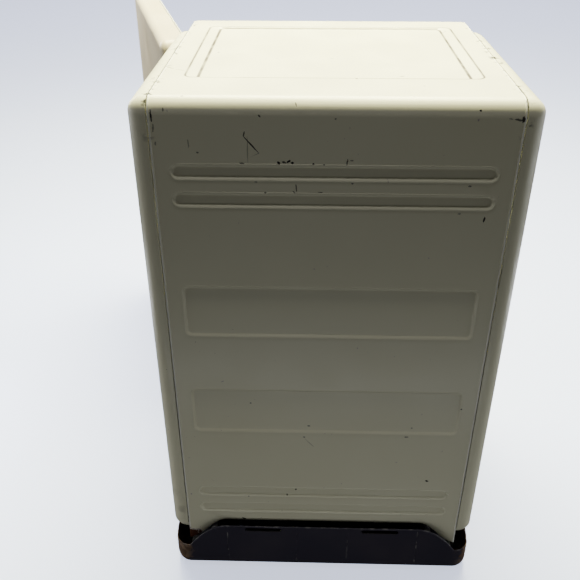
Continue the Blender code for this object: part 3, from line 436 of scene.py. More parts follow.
class Look:
    """A Principled material, with short ways to add nodes to it."""

    def __init__(self, name, roughness, metallic=0.0, **settings):
        self.material = bpy.data.materials.new(name)
        self.material.use_nodes = True
        self.tree = self.material.node_tree
        self.shader = self.tree.nodes["Principled BSDF"]
        self.shader.inputs["Roughness"].default_value = roughness
        self.shader.inputs["Metallic"].default_value = metallic
        for key, value in settings.items():
            self.shader.inputs[key.replace("_", " ").title().replace("Ior", "IOR")].default_value = value
        self.place = self.add("ShaderNodeTexCoord").outputs["Object"]
        self.parts = self.add("ShaderNodeSeparateXYZ", {0: self.place}).outputs

    def add(self, kind, inputs=None, **settings):
        node = self.tree.nodes.new(kind)
        for key, value in settings.items():
            setattr(node, key, value)
        for key, value in (inputs or {}).items():
            if isinstance(value, bpy.types.NodeSocket):
                self.tree.links.new(value, node.inputs[key])
            else:
                node.inputs[key].default_value = value
        return node

    def noise(self, scale, detail=3.0, place=None):
        inputs = {"Vector": place or self.place, "Scale": scale, "Detail": detail}
        return self.add("ShaderNodeTexNoise", inputs).outputs["Fac"]

    def stretched(self, scale):
        return self.add("ShaderNodeVectorMath", {0: self.place, 1: scale}, operation="MULTIPLY").outputs[0]

    def math(self, operation, *values):
        inputs = dict(enumerate(values))
        return self.add("ShaderNodeMath", inputs, operation=operation).outputs[0]

    def times(self, *values):
        return self.math("MULTIPLY", *values)

    def size(self, value):
        return self.math("ABSOLUTE", value)

    def spread(self, value, low, high, start=0.0, end=1.0):
        inputs = {0: value, 1: low, 2: high, 3: start, 4: end}
        return self.add("ShaderNodeMapRange", inputs, interpolation_type="SMOOTHSTEP").outputs[0]

    def mix(self, factor, first, second):
        first, second = ((*c, 1.0) if isinstance(c, tuple) else c for c in (first, second))
        return self.add("ShaderNodeMix", {0: factor, 6: first, 7: second}, data_type="RGBA").outputs[2]

    def either(self, masks):
        found = masks[0]
        for mask in masks[1:]:
            found = self.math("MAXIMUM", found, mask)
        return found

    def painted(self, name):
        """A value painted on the mesh's points."""
        return self.add("ShaderNodeAttribute", attribute_name=name).outputs["Fac"]

    def specks(self, scale, size, share, place=None):
        """Round spots of up to size cells, in a share of the cells."""
        cells = self.add("ShaderNodeTexVoronoi", {"Vector": place or self.place, "Scale": scale})
        red = self.add("ShaderNodeSeparateColor", {0: cells.outputs["Color"]}).outputs[0]
        chosen = self.spread(red, 1 - share, 1.0, 0.0, size)
        near = self.math("SUBTRACT", chosen, cells.outputs["Distance"])
        return self.spread(near, 0.0, 0.25 * size)

    def warped(self, scale, reach):
        """The place, shaken by fine noise so that marks have ragged edges."""
        shake = self.add("ShaderNodeTexNoise", {"Vector": self.place, "Scale": scale}).outputs["Color"]
        even = self.add("ShaderNodeVectorMath", {0: shake, 1: (0.5, 0.5, 0.5)}, operation="SUBTRACT")
        scaled = self.add("ShaderNodeVectorMath", {0: even.outputs[0], "Scale": reach}, operation="SCALE")
        inputs = {0: self.place, 1: scaled.outputs[0]}
        return self.add("ShaderNodeVectorMath", inputs, operation="ADD").outputs[0]

    def bump(self, height, strength, distance):
        inputs = {"Height": height, "Strength": strength, "Distance": distance}
        if self.shader.inputs["Normal"].is_linked:
            inputs["Normal"] = self.shader.inputs["Normal"].links[0].from_socket
        node = self.add("ShaderNodeBump", inputs)
        self.tree.links.new(node.outputs[0], self.shader.inputs["Normal"])

    def use(self, **sockets):
        for key, value in sockets.items():
            self.tree.links.new(value, self.shader.inputs[key.replace("_", " ")])
        return self.material


CREAM = (0.8, 0.78, 0.59)
CREAM_AGED = (0.77, 0.745, 0.545)
# The door's cream is darker and tanner than the cabinet's: partly a tanner tone, partly painted shade on the door.
DOOR_CREAM_SHADED = (0.62, 0.55, 0.4)
DOOR_CREAM_AGED_SHADED = (0.56, 0.48, 0.32)
SOOT = (0.022, 0.02, 0.018)
GRIME = (0.17, 0.135, 0.085)
RUST = (0.085, 0.03, 0.014)
BARE_STEEL = (0.34, 0.33, 0.31)

# Worn spots on the back: (x, z, half length, half width, slope in degrees, strength), in mm
BACK_MARKS = (
    (107, 805, 14.5, 0.9, 49, 0.95), (116, 819.5, 3.6, 0.9, 102, 0.9), (112, 797, 18, 0.8, 90, 0.4),
    (120, 780, 3.6, 0.9, 5, 0.9), (72, 781, 2.2, 2.3, 0, 1.0), (65, 782, 3.0, 1.4, 20, 0.9),
    (59, 783, 3.2, 1.5, -35, 1.0), (54, 781, 2.4, 1.9, 0, 1.0), (27, 780, 1.7, 1.4, 0, 1.0),
    (13, 779, 1.4, 0.9, 0, 0.7), (-17, 783, 5.2, 0.8, 98, 0.9), (-23, 785, 2.2, 1.0, 0, 0.7),
    (49, 746, 5.5, 0.9, 84, 0.85), (52, 740, 2.6, 0.8, 45, 0.7), (90, 739, 1.4, 1.2, 0, 0.7),
    (17, 740, 3.2, 0.8, 0, 0.7), (102, 754, 2.4, 0.7, 0, 0.6), (-25, 753, 1.5, 1.0, 0, 0.7),
    (-204, 703, 5.2, 1.2, 98, 1.0), (-170, 711, 2.6, 1.3, 0, 0.5), (-179, 751, 2.2, 1.2, 0, 0.7),
    (-228, 841, 6.0, 1.4, 12, 0.8), (-234, 841, 2.2, 4.2, 0, 0.95), (-219, 842, 3.0, 0.9, 8, 0.5),
    (232.8, 842, 8, 1.1, 88, 1.0), (231.5, 826, 6, 1.0, 96, 0.6), (230.5, 806, 3, 1.2, 95, 0.5),
    (217, 850, 2.4, 1.2, 90, 0.7), (242, 850, 2.0, 1.5, 90, 0.9), (188, 806, 6.5, 0.9, 86, 0.45),
    (177, 794, 1.5, 1.3, 0, 0.7), (-214, 370, 1.6, 1.4, 0, 0.9), (-132, 309, 3.6, 1.1, 0, 0.8),
    (-175, 210, 3.1, 1.7, 25, 1.0), (-140, 326, 1.8, 1.5, 0, 0.45), (-236, 288, 1.4, 1.9, 0, 0.8),
    (47, 181, 1.7, 1.9, 0, 0.9), (62, 169, 1.7, 1.2, 0, 0.7), (129, 165, 1.5, 1.2, 0, 0.7),
    (139, 109, 4.2, 1.8, 18, 1.0), (120, 373, 1.7, 1.4, 0, 0.6), (27, 327, 2.6, 1.4, 15, 0.7),
    (34, 305, 2.4, 1.6, 0, 0.6), (25, 292, 13, 0.8, 50, 0.3), (50, 858, 3.0, 1.0, 78, 0.8),
    (96, 843, 2.4, 1.1, 45, 0.9), (-180, 852, 1.5, 1.4, 0, 1.0), (0, 840, 1.4, 1.2, 0, 0.6),
)
# Worn spots on the top: (x, y, half length, half width, heading in degrees, strength), in mm
TOP_MARKS = (
    (231, 84, 10.5, 0.9, 140, 0.8), (215, 95, 9.5, 0.8, 153, 0.6), (173, -16, 1.7, 1.5, 0, 0.9),
    (82, 17, 2.4, 1.4, 0, 0.35), (0, 16, 3.2, 1.5, 0, 0.45), (-94, 110, 4.0, 1.3, 20, 0.8),
    (-30, 133, 1.7, 1.6, 0, 1.0), (-117, 165, 1.8, 1.5, 0, 0.6), (194, 214, 2.0, 1.3, 0, 0.7),
    (237.5, 192, 11, 1.5, 94, 0.9), (-235, 206, 9, 1.5, 96, 0.9), (-190, -160, 7, 2.5, 0, 0.4),
)


def cream_enamel(name, fresh, aged, cabinet):
    look = Look(name, 0.36, coat_weight=0.08, coat_roughness=0.18, specular_ior_level=0.32)
    colour = look.mix(look.spread(look.noise(2.3, 4), 0.38, 0.72), fresh, aged)
    specks = look.either([look.specks(24, 0.034, 0.3), look.specks(70, 0.05, 0.1)])
    soil = look.times(specks, 0.75)
    if cabinet:
        across = look.size(look.parts[0])
        height = look.parts[2]
        ragged = look.noise(120, 5)
        masks = [soil, look.painted("soil")]
        seam = look.size(look.math("SUBTRACT", across, SEAM_X))
        scuffs = look.spread(look.noise(60, 6, look.stretched((1.0, 0.22, 0.22))), 0.5, 0.66)
        beside = look.times(look.spread(seam, 0.0006, 0.003, 1, 0), scuffs)
        masks.append(look.times(beside, look.spread(height, 0.5, 0.74, 0.12, 0.75)))
        shoulder = look.times(look.spread(height, 0.79, 0.85), look.spread(seam, 0.002, 0.012, 1, 0))
        masks.append(look.times(shoulder, look.spread(look.noise(85, 7), 0.55, 0.68)))
        patchy = look.spread(look.noise(28, 6), 0.3, 0.62, 0.62, 1.0)
        # Crease darkening: dark brown in the pressings' creases, partly dirt and partly painted shade.
        crease_dirt_and_shade = look.times(look.spread(look.painted("wear_and_shade"), 0.02, 0.6), patchy)
        colour = look.mix(crease_dirt_and_shade, colour, (0.06, 0.045, 0.026))
        # A painted highlight: a paler line along the rolled hem at each seam.
        hem_highlight = look.times(look.spread(across, SEAM_X - 0.0034, SEAM_X - 0.0024), 0.85)
        inside = look.spread(across, SEAM_X - 0.0002, SEAM_X + 0.0003, 1, 0)
        colour = look.mix(look.times(hem_highlight, inside), colour, (0.93, 0.92, 0.84))
        soil = look.either(masks)
        low = look.times(look.spread(height, 0.06, 0.096, 1, 0), look.spread(look.parts[0], 0.195, 0.232))
        edge = look.math("ADD", low, look.times(look.math("SUBTRACT", ragged, 0.5), 1.6))
        colour = look.mix(look.spread(edge, 0.36, 0.44), colour, (0.5, 0.44, 0.4))
        colour = look.mix(look.spread(edge, 0.5, 0.62), colour, RUST)
        stain = look.times(look.spread(height, 0.1, 0.22, 1, 0), look.spread(look.parts[0], 0.236, 0.25))
        patchy = look.times(stain, look.spread(look.noise(30, 5), 0.4, 0.7))
        colour = look.mix(look.times(patchy, 0.55), colour, GRIME)
    colour = look.mix(soil, colour, SOOT)
    look.bump(look.noise(7, 2), 0.15, 0.004)
    look.bump(look.noise(900, 2), 0.035, 0.0006)
    look.bump(look.times(soil, -1.0), 0.3, 0.0004)
    rough = look.spread(look.noise(12, 4), 0.3, 0.75, 0.3, 0.44)
    return look.use(Base_Color=colour, Roughness=look.math("MAXIMUM", rough, look.times(soil, 0.8)))


def black_enamel(name):
    """Black enamel with a worn lip and creases, and rust at the corners where the paint is thin."""
    look = Look(name, 0.34, coat_weight=0.1, coat_roughness=0.25, specular_ior_level=0.35)
    colour = look.mix(look.spread(look.noise(9, 4), 0.35, 0.7), (0.034, 0.03, 0.048), (0.044, 0.038, 0.054))
    ragged = look.noise(95, 6)
    across = look.size(look.math("ADD", look.parts[0], 0.006))
    along = look.size(look.parts[1])
    corner = look.times(look.spread(across, 0.226, 0.262), look.spread(along, 0.16, 0.205))
    rusty = look.math("ADD", corner, look.times(look.math("SUBTRACT", ragged, 0.5), 1.5))
    colour = look.mix(look.spread(rusty, 0.46, 0.66), colour, (0.115, 0.07, 0.042))
    flakes = look.times(corner, look.spread(look.noise(75, 6), 0.5, 0.6))
    colour = look.mix(look.times(flakes, 0.75), colour, (0.27, 0.185, 0.125))
    worn = look.times(look.painted("wear_and_shade"), look.spread(look.noise(95, 6), 0.5, 0.64))
    colour = look.mix(look.times(worn, 0.8), colour, BARE_STEEL)
    chips = look.specks(26, 0.03, 0.2)
    colour = look.mix(chips, colour, (0.4, 0.39, 0.38))
    look.bump(look.noise(700, 2), 0.05, 0.0006)
    look.bump(look.spread(rusty, 0.4, 0.8), 0.4, 0.0005)
    rough = look.spread(look.noise(14, 4), 0.3, 0.75, 0.3, 0.46)
    return look.use(Base_Color=colour, Roughness=look.math("MAXIMUM", rough, look.times(corner, 0.7)))


def finish(name, pale, deep, roughness, metallic=0.0, patch=6.0, grain=500.0, relief=0.04, stretch=None,
           **more):
    """A paint, plating or plastic: two tones in patches, fine grain, and uneven gloss."""
    specks, swing = more.pop("specks", None), more.pop("swing", 0.08)
    look = Look(name, roughness, metallic, **more)
    place = look.stretched(stretch) if stretch else look.place
    colour = look.mix(look.spread(look.noise(patch, 5, place), 0.34, 0.68), pale, deep)
    if specks:
        colour = look.mix(look.specks(specks[0], 0.16, 0.5), colour, specks[1])
    look.bump(look.noise(grain, 3, place), relief, 0.0008)
    rough = look.spread(look.noise(patch * 3.1, 5, place), 0.3, 0.7, max(roughness - swing, 0.03),
                        roughness + swing)
    return look.use(Base_Color=colour, Roughness=rough)


def spangled(name, pale, deep, roughness):
    """Hot-dip zinc: flat crystals of slightly different grey, each with its own gloss."""
    look = Look(name, roughness, 1.0)
    cells = look.add("ShaderNodeTexVoronoi", {"Vector": look.warped(60, 0.004), "Scale": 95.0})
    tone = look.add("ShaderNodeSeparateColor", {0: cells.outputs["Color"]}).outputs
    colour = look.mix(tone[0], pale, deep)
    dust = look.times(look.spread(look.noise(11, 5), 0.5, 0.75), 0.45)
    colour = look.mix(dust, colour, (0.22, 0.2, 0.17))
    look.bump(look.noise(300, 3), 0.05, 0.0006)
    rough = look.spread(tone[1], 0.0, 1.0, roughness - 0.1, roughness + 0.12)
    return look.use(Base_Color=colour, Roughness=rough)


def floor_paint():
    """A pale paper floor that glows a little, as one that is lit evenly from all sides."""
    look = Look("floor_paper", 0.55, emission_color=(0.74, 0.8, 1.0, 1.0), emission_strength=1.3)
    tone = look.mix(look.spread(look.noise(0.8, 3), 0.35, 0.7), (0.54, 0.6, 0.98), (0.52, 0.58, 0.96))
    look.bump(look.noise(220, 3), 0.03, 0.001)
    return look.use(Base_Color=tone)


def make_looks():
    """(material, slot of the record) for each finish."""
    grey_dust = (0.3, 0.29, 0.27)
    made = {
        "cream": (cream_enamel("cream_enamel_cabinet", CREAM, CREAM_AGED, True), "cream_enamel"),
        # The door enamel is a darker copy of the cabinet cream: partly a tanner tone, partly painted shade.
        "cream_door_shaded": (cream_enamel("cream_enamel_door_shaded", DOOR_CREAM_SHADED, DOOR_CREAM_AGED_SHADED, False),
                        "cream_enamel"),
        "black": (black_enamel("black_enamel_base"), "black_enamel"),
        "galvanised": (spangled("galvanised_sheet", (0.58, 0.59, 0.6), (0.4, 0.42, 0.44), 0.42),
                       "galvanised_steel"),
        "liner": (finish("liner_paint_grey", (0.62, 0.63, 0.61), (0.52, 0.53, 0.51), 0.42,
                         specks=(60, (0.45, 0.44, 0.41))), "liner_paint"),
        "vinyl": (finish("white_vinyl_seal", (0.8, 0.8, 0.76), (0.68, 0.66, 0.58), 0.5, grain=900),
                  "white_vinyl"),
        "iron": (finish("oiled_dark_steel", (0.13, 0.13, 0.13), (0.045, 0.042, 0.038), 0.42, 0.85, 18),
                 "dark_steel"),
        "zinc": (finish("zinc_plating", (0.66, 0.66, 0.62), (0.52, 0.52, 0.5), 0.32, 1.0, 24),
                 "zinc_plated_steel"),
        "motor": (finish("motor_enamel", (0.07, 0.09, 0.11), (0.045, 0.055, 0.065), 0.48,
                         specks=(90, (0.1, 0.12, 0.13))), "motor_paint"),
        "plastic": (finish("moulded_black_plastic", (0.022, 0.022, 0.024), (0.034, 0.033, 0.033), 0.46,
                           grain=1400, relief=0.12), "black_plastic"),
        "rubber": (finish("belt_rubber_black", (0.018, 0.018, 0.018), (0.035, 0.034, 0.032), 0.82, grain=1100,
                          relief=0.2), "belt_rubber"),
        "panel": (finish("brown_brushed_panel", (0.115, 0.075, 0.05), (0.07, 0.045, 0.03), 0.36, 0.35, 5, 160,
                         0.1, (0.06, 1.0, 9.0)), "brown_panel"),
        "amber": (finish("amber_lens_plastic", (0.9, 0.34, 0.03), (0.75, 0.22, 0.02), 0.14,
                         transmission_weight=0.35, swing=0.04), "amber_lens"),
        "chrome": (finish("chrome_plate", (0.86, 0.86, 0.87), (0.78, 0.78, 0.8), 0.12, 1.0, 16, 600, 0.02,
                          swing=0.06), "chrome"),
        "bin": (finish("bin_enamel_grey", (0.27, 0.3, 0.31), (0.2, 0.23, 0.24), 0.4,
                       specks=(150, (0.42, 0.45, 0.46))), "bin_enamel"),
        "bronze": (finish("oiled_bronze", (0.56, 0.36, 0.15), (0.36, 0.22, 0.1), 0.38, 1.0, 30), "bronze"),
        "aluminium": (finish("cast_aluminium_grey", (0.64, 0.65, 0.66), (0.5, 0.51, 0.52), 0.46, 1.0, 20, 380,
                             0.16), "cast_aluminium"),
        "green": (finish("green_button_plastic", (0.03, 0.27, 0.09), (0.02, 0.2, 0.07), 0.3, grain=900),
                  "green_plastic"),
        "red": (finish("red_button_plastic", (0.58, 0.03, 0.02), (0.44, 0.022, 0.018), 0.3, grain=900),
                "red_plastic"),
    }
    made["ink"] = (finish("white_ink", (0.78, 0.77, 0.72), (0.7, 0.68, 0.62), 0.5), "brown_panel")
    made["bearing"] = (finish("bearing_housing_iron", grey_dust, (0.16, 0.155, 0.15), 0.5, 0.7, 25),
                       "dark_steel")
    return made


# Frame measures ---------------------------------------------------------------------------

WRAP_LOW, WRAP_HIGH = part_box("top_back_wrap")
SIDE_LOW, SIDE_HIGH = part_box("right_side_panel")
BASE_LOW, BASE_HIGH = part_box("base_pan")
TOP_Z = WRAP_HIGH.z
BACK_Y = WRAP_HIGH.y
WRAP_HALF = WRAP_HIGH.x
SEAM_X = WRAP_HALF + 0.0006
BEND = 0.0214
PRESS_DEPTH = 0.0028
BACK_BOTTOM = 0.106
SHOULDER, TAB_SLOPE = 0.172, 0.068
SIDE_FILLET = 0.02
SIDE_FRONT_X = 0.2594
FRONT_TOP_RADIUS = 0.09


# Shell ------------------------------------------------------------------------------------


def wrap_point(u, v, depth):
    """A point of the wrapped sheet: u across, v from the front edge back and then down."""
    flat = 2 * BACK_Y - BEND
    bent = BEND * pi / 2
    if v <= flat:
        return Vector((u, v - BACK_Y, TOP_Z - depth))
    if v >= flat + bent:
        return Vector((u, BACK_Y - depth, TOP_Z - BEND - (v - flat - bent)))
    angle = (v - flat) / BEND
    reach = BEND - depth
    return Vector((u, BACK_Y - BEND + reach * sin(angle), TOP_Z - BEND + reach * cos(angle)))


def wrap_v(z):
    return 2 * BACK_Y - BEND + BEND * pi / 2 + TOP_Z - BEND - z


def lower_edge(x):
    """Height of the back's lower edge, which drops to a tab at each corner."""
    return BACK_BOTTOM - (BACK_BOTTOM - WRAP_LOW.z) * smoothstep((abs(x) - SHOULDER) / TAB_SLOPE)


def wrap_pressings():
    made = []
    # The value after the depth sets how dark each pressing's creases are painted: partly dirt, partly painted
    # shade.
    for z in (0.767, 0.727, 0.1767, 0.1375):
        made.append(wall((0.0, wrap_v(z)), (0.2145, 0.01), 0.00999, 0.004, PRESS_DEPTH, 0.05, 9, 0.00045))
    for low, high in ((0.5045, 0.5906), (0.3148, 0.402)):
        centre, half = (0.0, wrap_v((low + high) / 2)), (0.213, (high - low) / 2)
        made.append(wall(centre, half, 0.009, 0.004, PRESS_DEPTH, 0.05, 8, 0.00045))
    centre = (0.0, BACK_Y - 0.026)
    return made + [Pressing(centre, (0.204, 0.157), 0.012, (0.1865, 0.152), 0.008, PRESS_DEPTH, 1.0)]


def wrap_marks():
    made = []
    for i, (x, z, length, width, slope, strength) in enumerate(BACK_MARKS):
        if abs(x) < 1000 * WRAP_HALF - 4:
            place = (x / 1000, wrap_v(z / 1000))
            made.append(Mark(place, (length / 1000, width / 1000), -radians(slope), strength, i))
    for i, (x, y, length, width, heading, strength) in enumerate(TOP_MARKS):
        if abs(x) < 1000 * WRAP_HALF - 4:
            place = (x / 1000, y / 1000 + BACK_Y)
            made.append(Mark(place, (length / 1000, width / 1000), radians(heading), strength, 100 + i))
    return made


def make_wrap(looks):
    clip = 0.007
    w = WRAP_HALF
    shoulder = [lerp(SHOULDER, w, i / 24) for i in range(25)]
    bottom = [-x for x in reversed(shoulder)] + shoulder
    outline = [(-w, clip), (-w + clip, 0.0), (w - clip, 0.0), (w, clip)]
    outline += [(x, wrap_v(lower_edge(x))) for x in reversed(bottom)]
    flat = 2 * BACK_Y - BEND
    lines = []
    for i in range(17):
        v = flat + BEND * pi / 2 * i / 16
        lines.append([(-w, v), (w, v)])
    for inside in (0.0005, 0.001, 0.0015, 0.002, 0.0025, 0.003, 0.0045):
        for side in (-1, 1):
            x = side * (w - inside)
            lines.append([(x, clip + 0.001), (x, wrap_v(lower_edge(x) + 0.0005))])

    def hemmed(u, v, depth):
        """The side edges are rolled into a low bead."""
        inside = (w - abs(u)) / 0.003
        return wrap_point(u, v, depth - (0.0007 * sin(pi * inside) if 0 < inside < 1 else 0.0))

    shape = Shape().pressed(outline, wrap_pressings(), lines, hemmed, wrap_marks())
    piece("cabinet_wrap", shape, looks["cream"], "cabinet", ["top_back_wrap"], sharp=30, thickness=SHEET,
          outwards=Vector((0, 1, 1)))


def pan_rings(centre, half, radius, fillet, rim, face, sheet=SHEET, corner=12, round_steps=10):
    """Rings of a shallow pan: its face, rounded edge and rim, and back up the inside."""
    side = 1 if face > rim else -1
    rings = []
    for skin, order in ((0.0, 1), (sheet, -1)):
        rows = []
        for i in range(round_steps + 1):
            angle = radians(90 * (1 - i / round_steps))
            inset = fillet - (fillet - skin) * cos(angle)
            height = face - side * (fillet - (fillet - skin) * sin(angle))
            rows.append(level(inset_rectangle(centre, half, radius, inset, corner), height))
        rows.append(level(inset_rectangle(centre, half, radius, skin, corner), rim + side * 0.0004))
        if not skin:
            rows.append(level(inset_rectangle(centre, half, radius, 0.0004, corner), rim))
        else:
            rows.append(level(inset_rectangle(centre, half, radius, skin - 0.0004, corner), rim))
        rings += rows[::order]
    return rings


def make_side_shells(looks):
    """Pressed pans, a little wider at the back than at the front."""
    height = SIDE_HIGH.z - SIDE_LOW.z
    centre, half = (0.0, SIDE_LOW.z + height / 2), (SIDE_HIGH.y, height / 2)
    radii = (BEND, BEND, FRONT_TOP_RADIUS, BEND)
    rim = SIDE_LOW.x
    widening = (SIDE_HIGH.x - SIDE_FRONT_X) / (SIDE_FRONT_X - rim) / (2 * SIDE_HIGH.y)
    for name, side in SIDES:
        rings = pan_rings(centre, half, radii, SIDE_FILLET, side * rim, side * SIDE_FRONT_X, corner=20)
        shape = Shape().loft(rings, "X")
        for point in shape.points:
            point.x += side * (abs(point.x) - rim) * widening * (point.y + SIDE_HIGH.y)
        piece(f"{name}_side_shell", shape, looks["cream"], "cabinet", [f"{name}_side_panel"])


# Base -------------------------------------------------------------------------------------

BASE_CORNER = 0.0265
BASE_FILLET = 0.02
BASE_SHEET = 0.002
CORNER_TOP = 0.055
SIDE_TOP = 0.0772
SIDE_RISE = 0.02
UPRIGHT_TOP = 0.05
LEAN = 0.0045
SHOULDER_START, SHOULDER_END = 0.17, 0.2365
CREASES = (0.168, 0.045)


def base_wall_top(x, y):
    """Top of the base's wall: high at front and back, low at the corners, and under the sides."""
    if abs(y) >= BASE_HIGH.y - BASE_CORNER:
        share = (abs(x) - SHOULDER_START) / (SHOULDER_END - SHOULDER_START)
        return BASE_HIGH.z - (BASE_HIGH.z - CORNER_TOP) * min(max(share, 0.0), 1.0) ** 1.9
    return lerp(CORNER_TOP, SIDE_TOP, smoothstep((BASE_HIGH.y - BASE_CORNER - abs(y)) / SIDE_RISE))


def base_lean(y, z):
    """How far the wall leans in at a height, so that it goes up inside the side shells."""
    if abs(y) >= BASE_HIGH.y - BASE_CORNER - 1e-6:
        return 0.0
    rise = smoothstep((BASE_HIGH.y - BASE_CORNER - abs(y)) / SIDE_RISE)
    return LEAN * rise * max(0.0, z - UPRIGHT_TOP) / (SIDE_TOP - UPRIGHT_TOP)


def base_stations():
    """(point, outward normal, how deep a crease is there) round the base."""
    flat_x, flat_y = BASE_HIGH.x - BASE_CORNER, BASE_HIGH.y - BASE_CORNER
    spots = {}
    for x in CREASES:
        for offset, depth in ((-0.0016, 0.0), (-0.0006, 0.6), (0.0, 1.0), (0.0006, 0.6), (0.0016, 0.0)):
            spots[x + offset] = depth
    for i in range(24):
        spots[0.1702 + (flat_x - 0.0005 - 0.1702) * i / 23] = 0.0
    along_x = sorted([(x, d) for x, d in spots.items()] + [(-x, d) for x, d in spots.items()])
    along_y = [flat_y - SIDE_RISE * i / 12 for i in range(1, 13)]
    along_y = sorted([-y for y in along_y] + along_y)
    stations = [((x, -BASE_HIGH.y), (0, -1), depth) for x, depth in along_x]
    stations += base_corner(flat_x, -flat_y, -90)
    stations += [((BASE_HIGH.x, y), (1, 0), 0.0) for y in along_y]
    stations += base_corner(flat_x, flat_y, 0)
    stations += [((x, BASE_HIGH.y), (0, 1), depth) for x, depth in reversed(along_x)]
    stations += base_corner(-flat_x, flat_y, 90)
    stations += [((-BASE_HIGH.x, y), (-1, 0), 0.0) for y in reversed(along_y)]
    return stations + base_corner(-flat_x, -flat_y, 180)


def base_corner(x, y, start, steps=14):
    points = arc((x, y), BASE_CORNER, start, start + 90, steps)
    return [(p, ((p[0] - x) / BASE_CORNER, (p[1] - y) / BASE_CORNER), 0.0) for p in points]


def make_base(looks):
    stations = base_stations()
    rows = []
    for a in range(9):
        angle = radians(90 * a / 8)
        rows.append((BASE_FILLET * (1 - sin(angle)), BASE_FILLET * (1 - cos(angle)), None, 0.0))
    rows += [(0.0, 0.0, share, 0.0) for share in (0.25, 0.5, 0.75)]
    rows += [(0.0, -0.004, 1.0, 0.0), (0.0, -0.0016, 1.0, 0.15), (0.0002, -0.0006, 1.0, 0.5)]
    rows += [(0.0007, 0.0, 1.0, 0.6), (0.0013, 0.0, 1.0, 0.55), (BASE_SHEET, -0.0006, 1.0, 0.25)]
    rows += [(BASE_SHEET, 0.0, share, 0.0) for share in (0.75, 0.5, 0.25)]
    inner = BASE_FILLET - BASE_SHEET
    for a in range(8, -1, -1):
        angle = radians(90 * a / 8)
        rows.append((BASE_FILLET - inner * sin(angle), BASE_FILLET - inner * cos(angle), None, 0.0))
    rings, wear_and_shade = [], []
    for inset, z, share, worn in rows:
        ring = []
        for (x, y), (nx, ny), crease in stations:
            top = base_wall_top(x, y)
            height = z if share is None else lerp(BASE_FILLET, top, share) + z
            depth = inset + 0.0006 * crease * (0.0 if height < BASE_FILLET else 1.0)
            depth += base_lean(y, height)
            ring.append((x - depth * nx, y - depth * ny, height))
            wear_and_shade.append(max(worn, crease * (0.75 if abs(x) > 0.1 else 0.3)))
        rings.append(ring)
    shape = Shape().loft(rings, wear_and_shade=wear_and_shade)
    slots = []
    for name in ("right_vent_slot", "left_vent_slot"):
        low, high = opening_box(name)
        centre, half = ((low[2] + high[2]) / 2, (low[0] + high[0]) / 2), (0.0045,
                (high[0] - low[0]) / 2 + 0.004)
        outline = rounded_rectangle(centre, half, 0.0044, 6)
        slots.append(Shape().prism(outline, BASE_HIGH.y - 0.008, BASE_HIGH.y + 0.008, "Y"))
    gland_low, gland_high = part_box("cord_gland")
    middle = (gland_low + gland_high) / 2
    hole = [(0.0084, BASE_LOW.x - 0.006), (0.0084, BASE_LOW.x + 0.006)]
    slots.append(Shape().turned(hole, "X", (middle.y, middle.z)))
    piece("base_shell", shape, looks["black"], "cabinet", ["base_pan"], cutters=slots, sharp=50)
    profile = [(0.0045, 0.0), (0.0076, 0.0), (0.008, 0.0005), (0.008, 0.0053), (0.0106, 0.0053)]
    profile += [(0.011, 0.0057), (0.011, 0.0074), (0.0106, 0.0081), (0.0088, 0.0104), (0.0082, 0.011)]
    profile += [(0.0052, 0.011), (0.0045, 0.0102)]
    gland = [(radius, gland_high.x - depth) for radius, depth in profile]
    shape = Shape().turned(gland, "X", (middle.y, middle.z), closed=True)
    piece("cord_bushing", shape, looks["plastic"], "cabinet", ["cord_gland"])


def opening_box(name):
    openings = frame["record"]["physics"]["openings"]
    return next(o["box_m"] for o in openings if o["name"] == name)


# Fasteners --------------------------------------------------------------------------------


def cross_recess(radius, sides=24):
    """Outline of a cross-shaped recess."""
    points = []
    for i in range(sides):
        arm = min((360 * i / sides) % 90, 90 - (360 * i / sides) % 90)
        reach = radius * (0.55 if arm < 8 else 0.2)
        turn = 2 * pi * i / sides
        points.append((reach * cos(turn), reach * sin(turn)))
    return points


def facing(centre, outward):
    return Matrix.Translation(centre) @ Vector(outward).to_track_quat("Z", "Y").to_matrix().to_4x4()


def screw_heads(shape, centres, outward, radius):
    """Low domed heads with a cross recess."""
    for centre in centres:
        rings = [level(circle(radius, 24), 0.0)]
        for share, height in ((1.0, 0.25), (0.93, 0.42), (0.8, 0.55)):
            rings.append(level(circle(radius * share, 24), radius * height))
        rings.append(level(cross_recess(radius), radius * 0.62))
        rings.append(level(cross_recess(radius * 0.85), radius * 0.22))
        shape.loft(rings, move=facing(centre, outward))
    return shape


def hex_bolts(shape, centres, outward, radius):
    """Hexagon heads on washers."""
    for centre in centres:
        move = facing(centre, outward)
        washer = [(radius * 1.45, 0.0), (radius * 1.45, radius * 0.22), (radius * 1.38, radius * 0.28)]
        shape.turned(washer, sides=30, move=move)
        rows = ((1, 0.28), (1, 0.9), (0.86, 1.0))
        rings = [level(circle(radius * share, 6), radius * height) for share, height in rows]
        shape.loft(rings, move=move)
    return shape


def rivets(shape, centres, outward, radius):
    for centre in centres:
        dome = [(radius * cos(radians(a)), radius * 0.6 * sin(radians(a))) for a in (0, 20, 40, 60, 78)]
        shape.turned(dome, sides=20, move=facing(centre, outward))
    return shape


# Front frame ------------------------------------------------------------------------------


OPENING_HALF, OPENING_BOTTOM, OPENING_TOP = 0.203, 0.131, 0.822
FRAME_REAR = -0.208


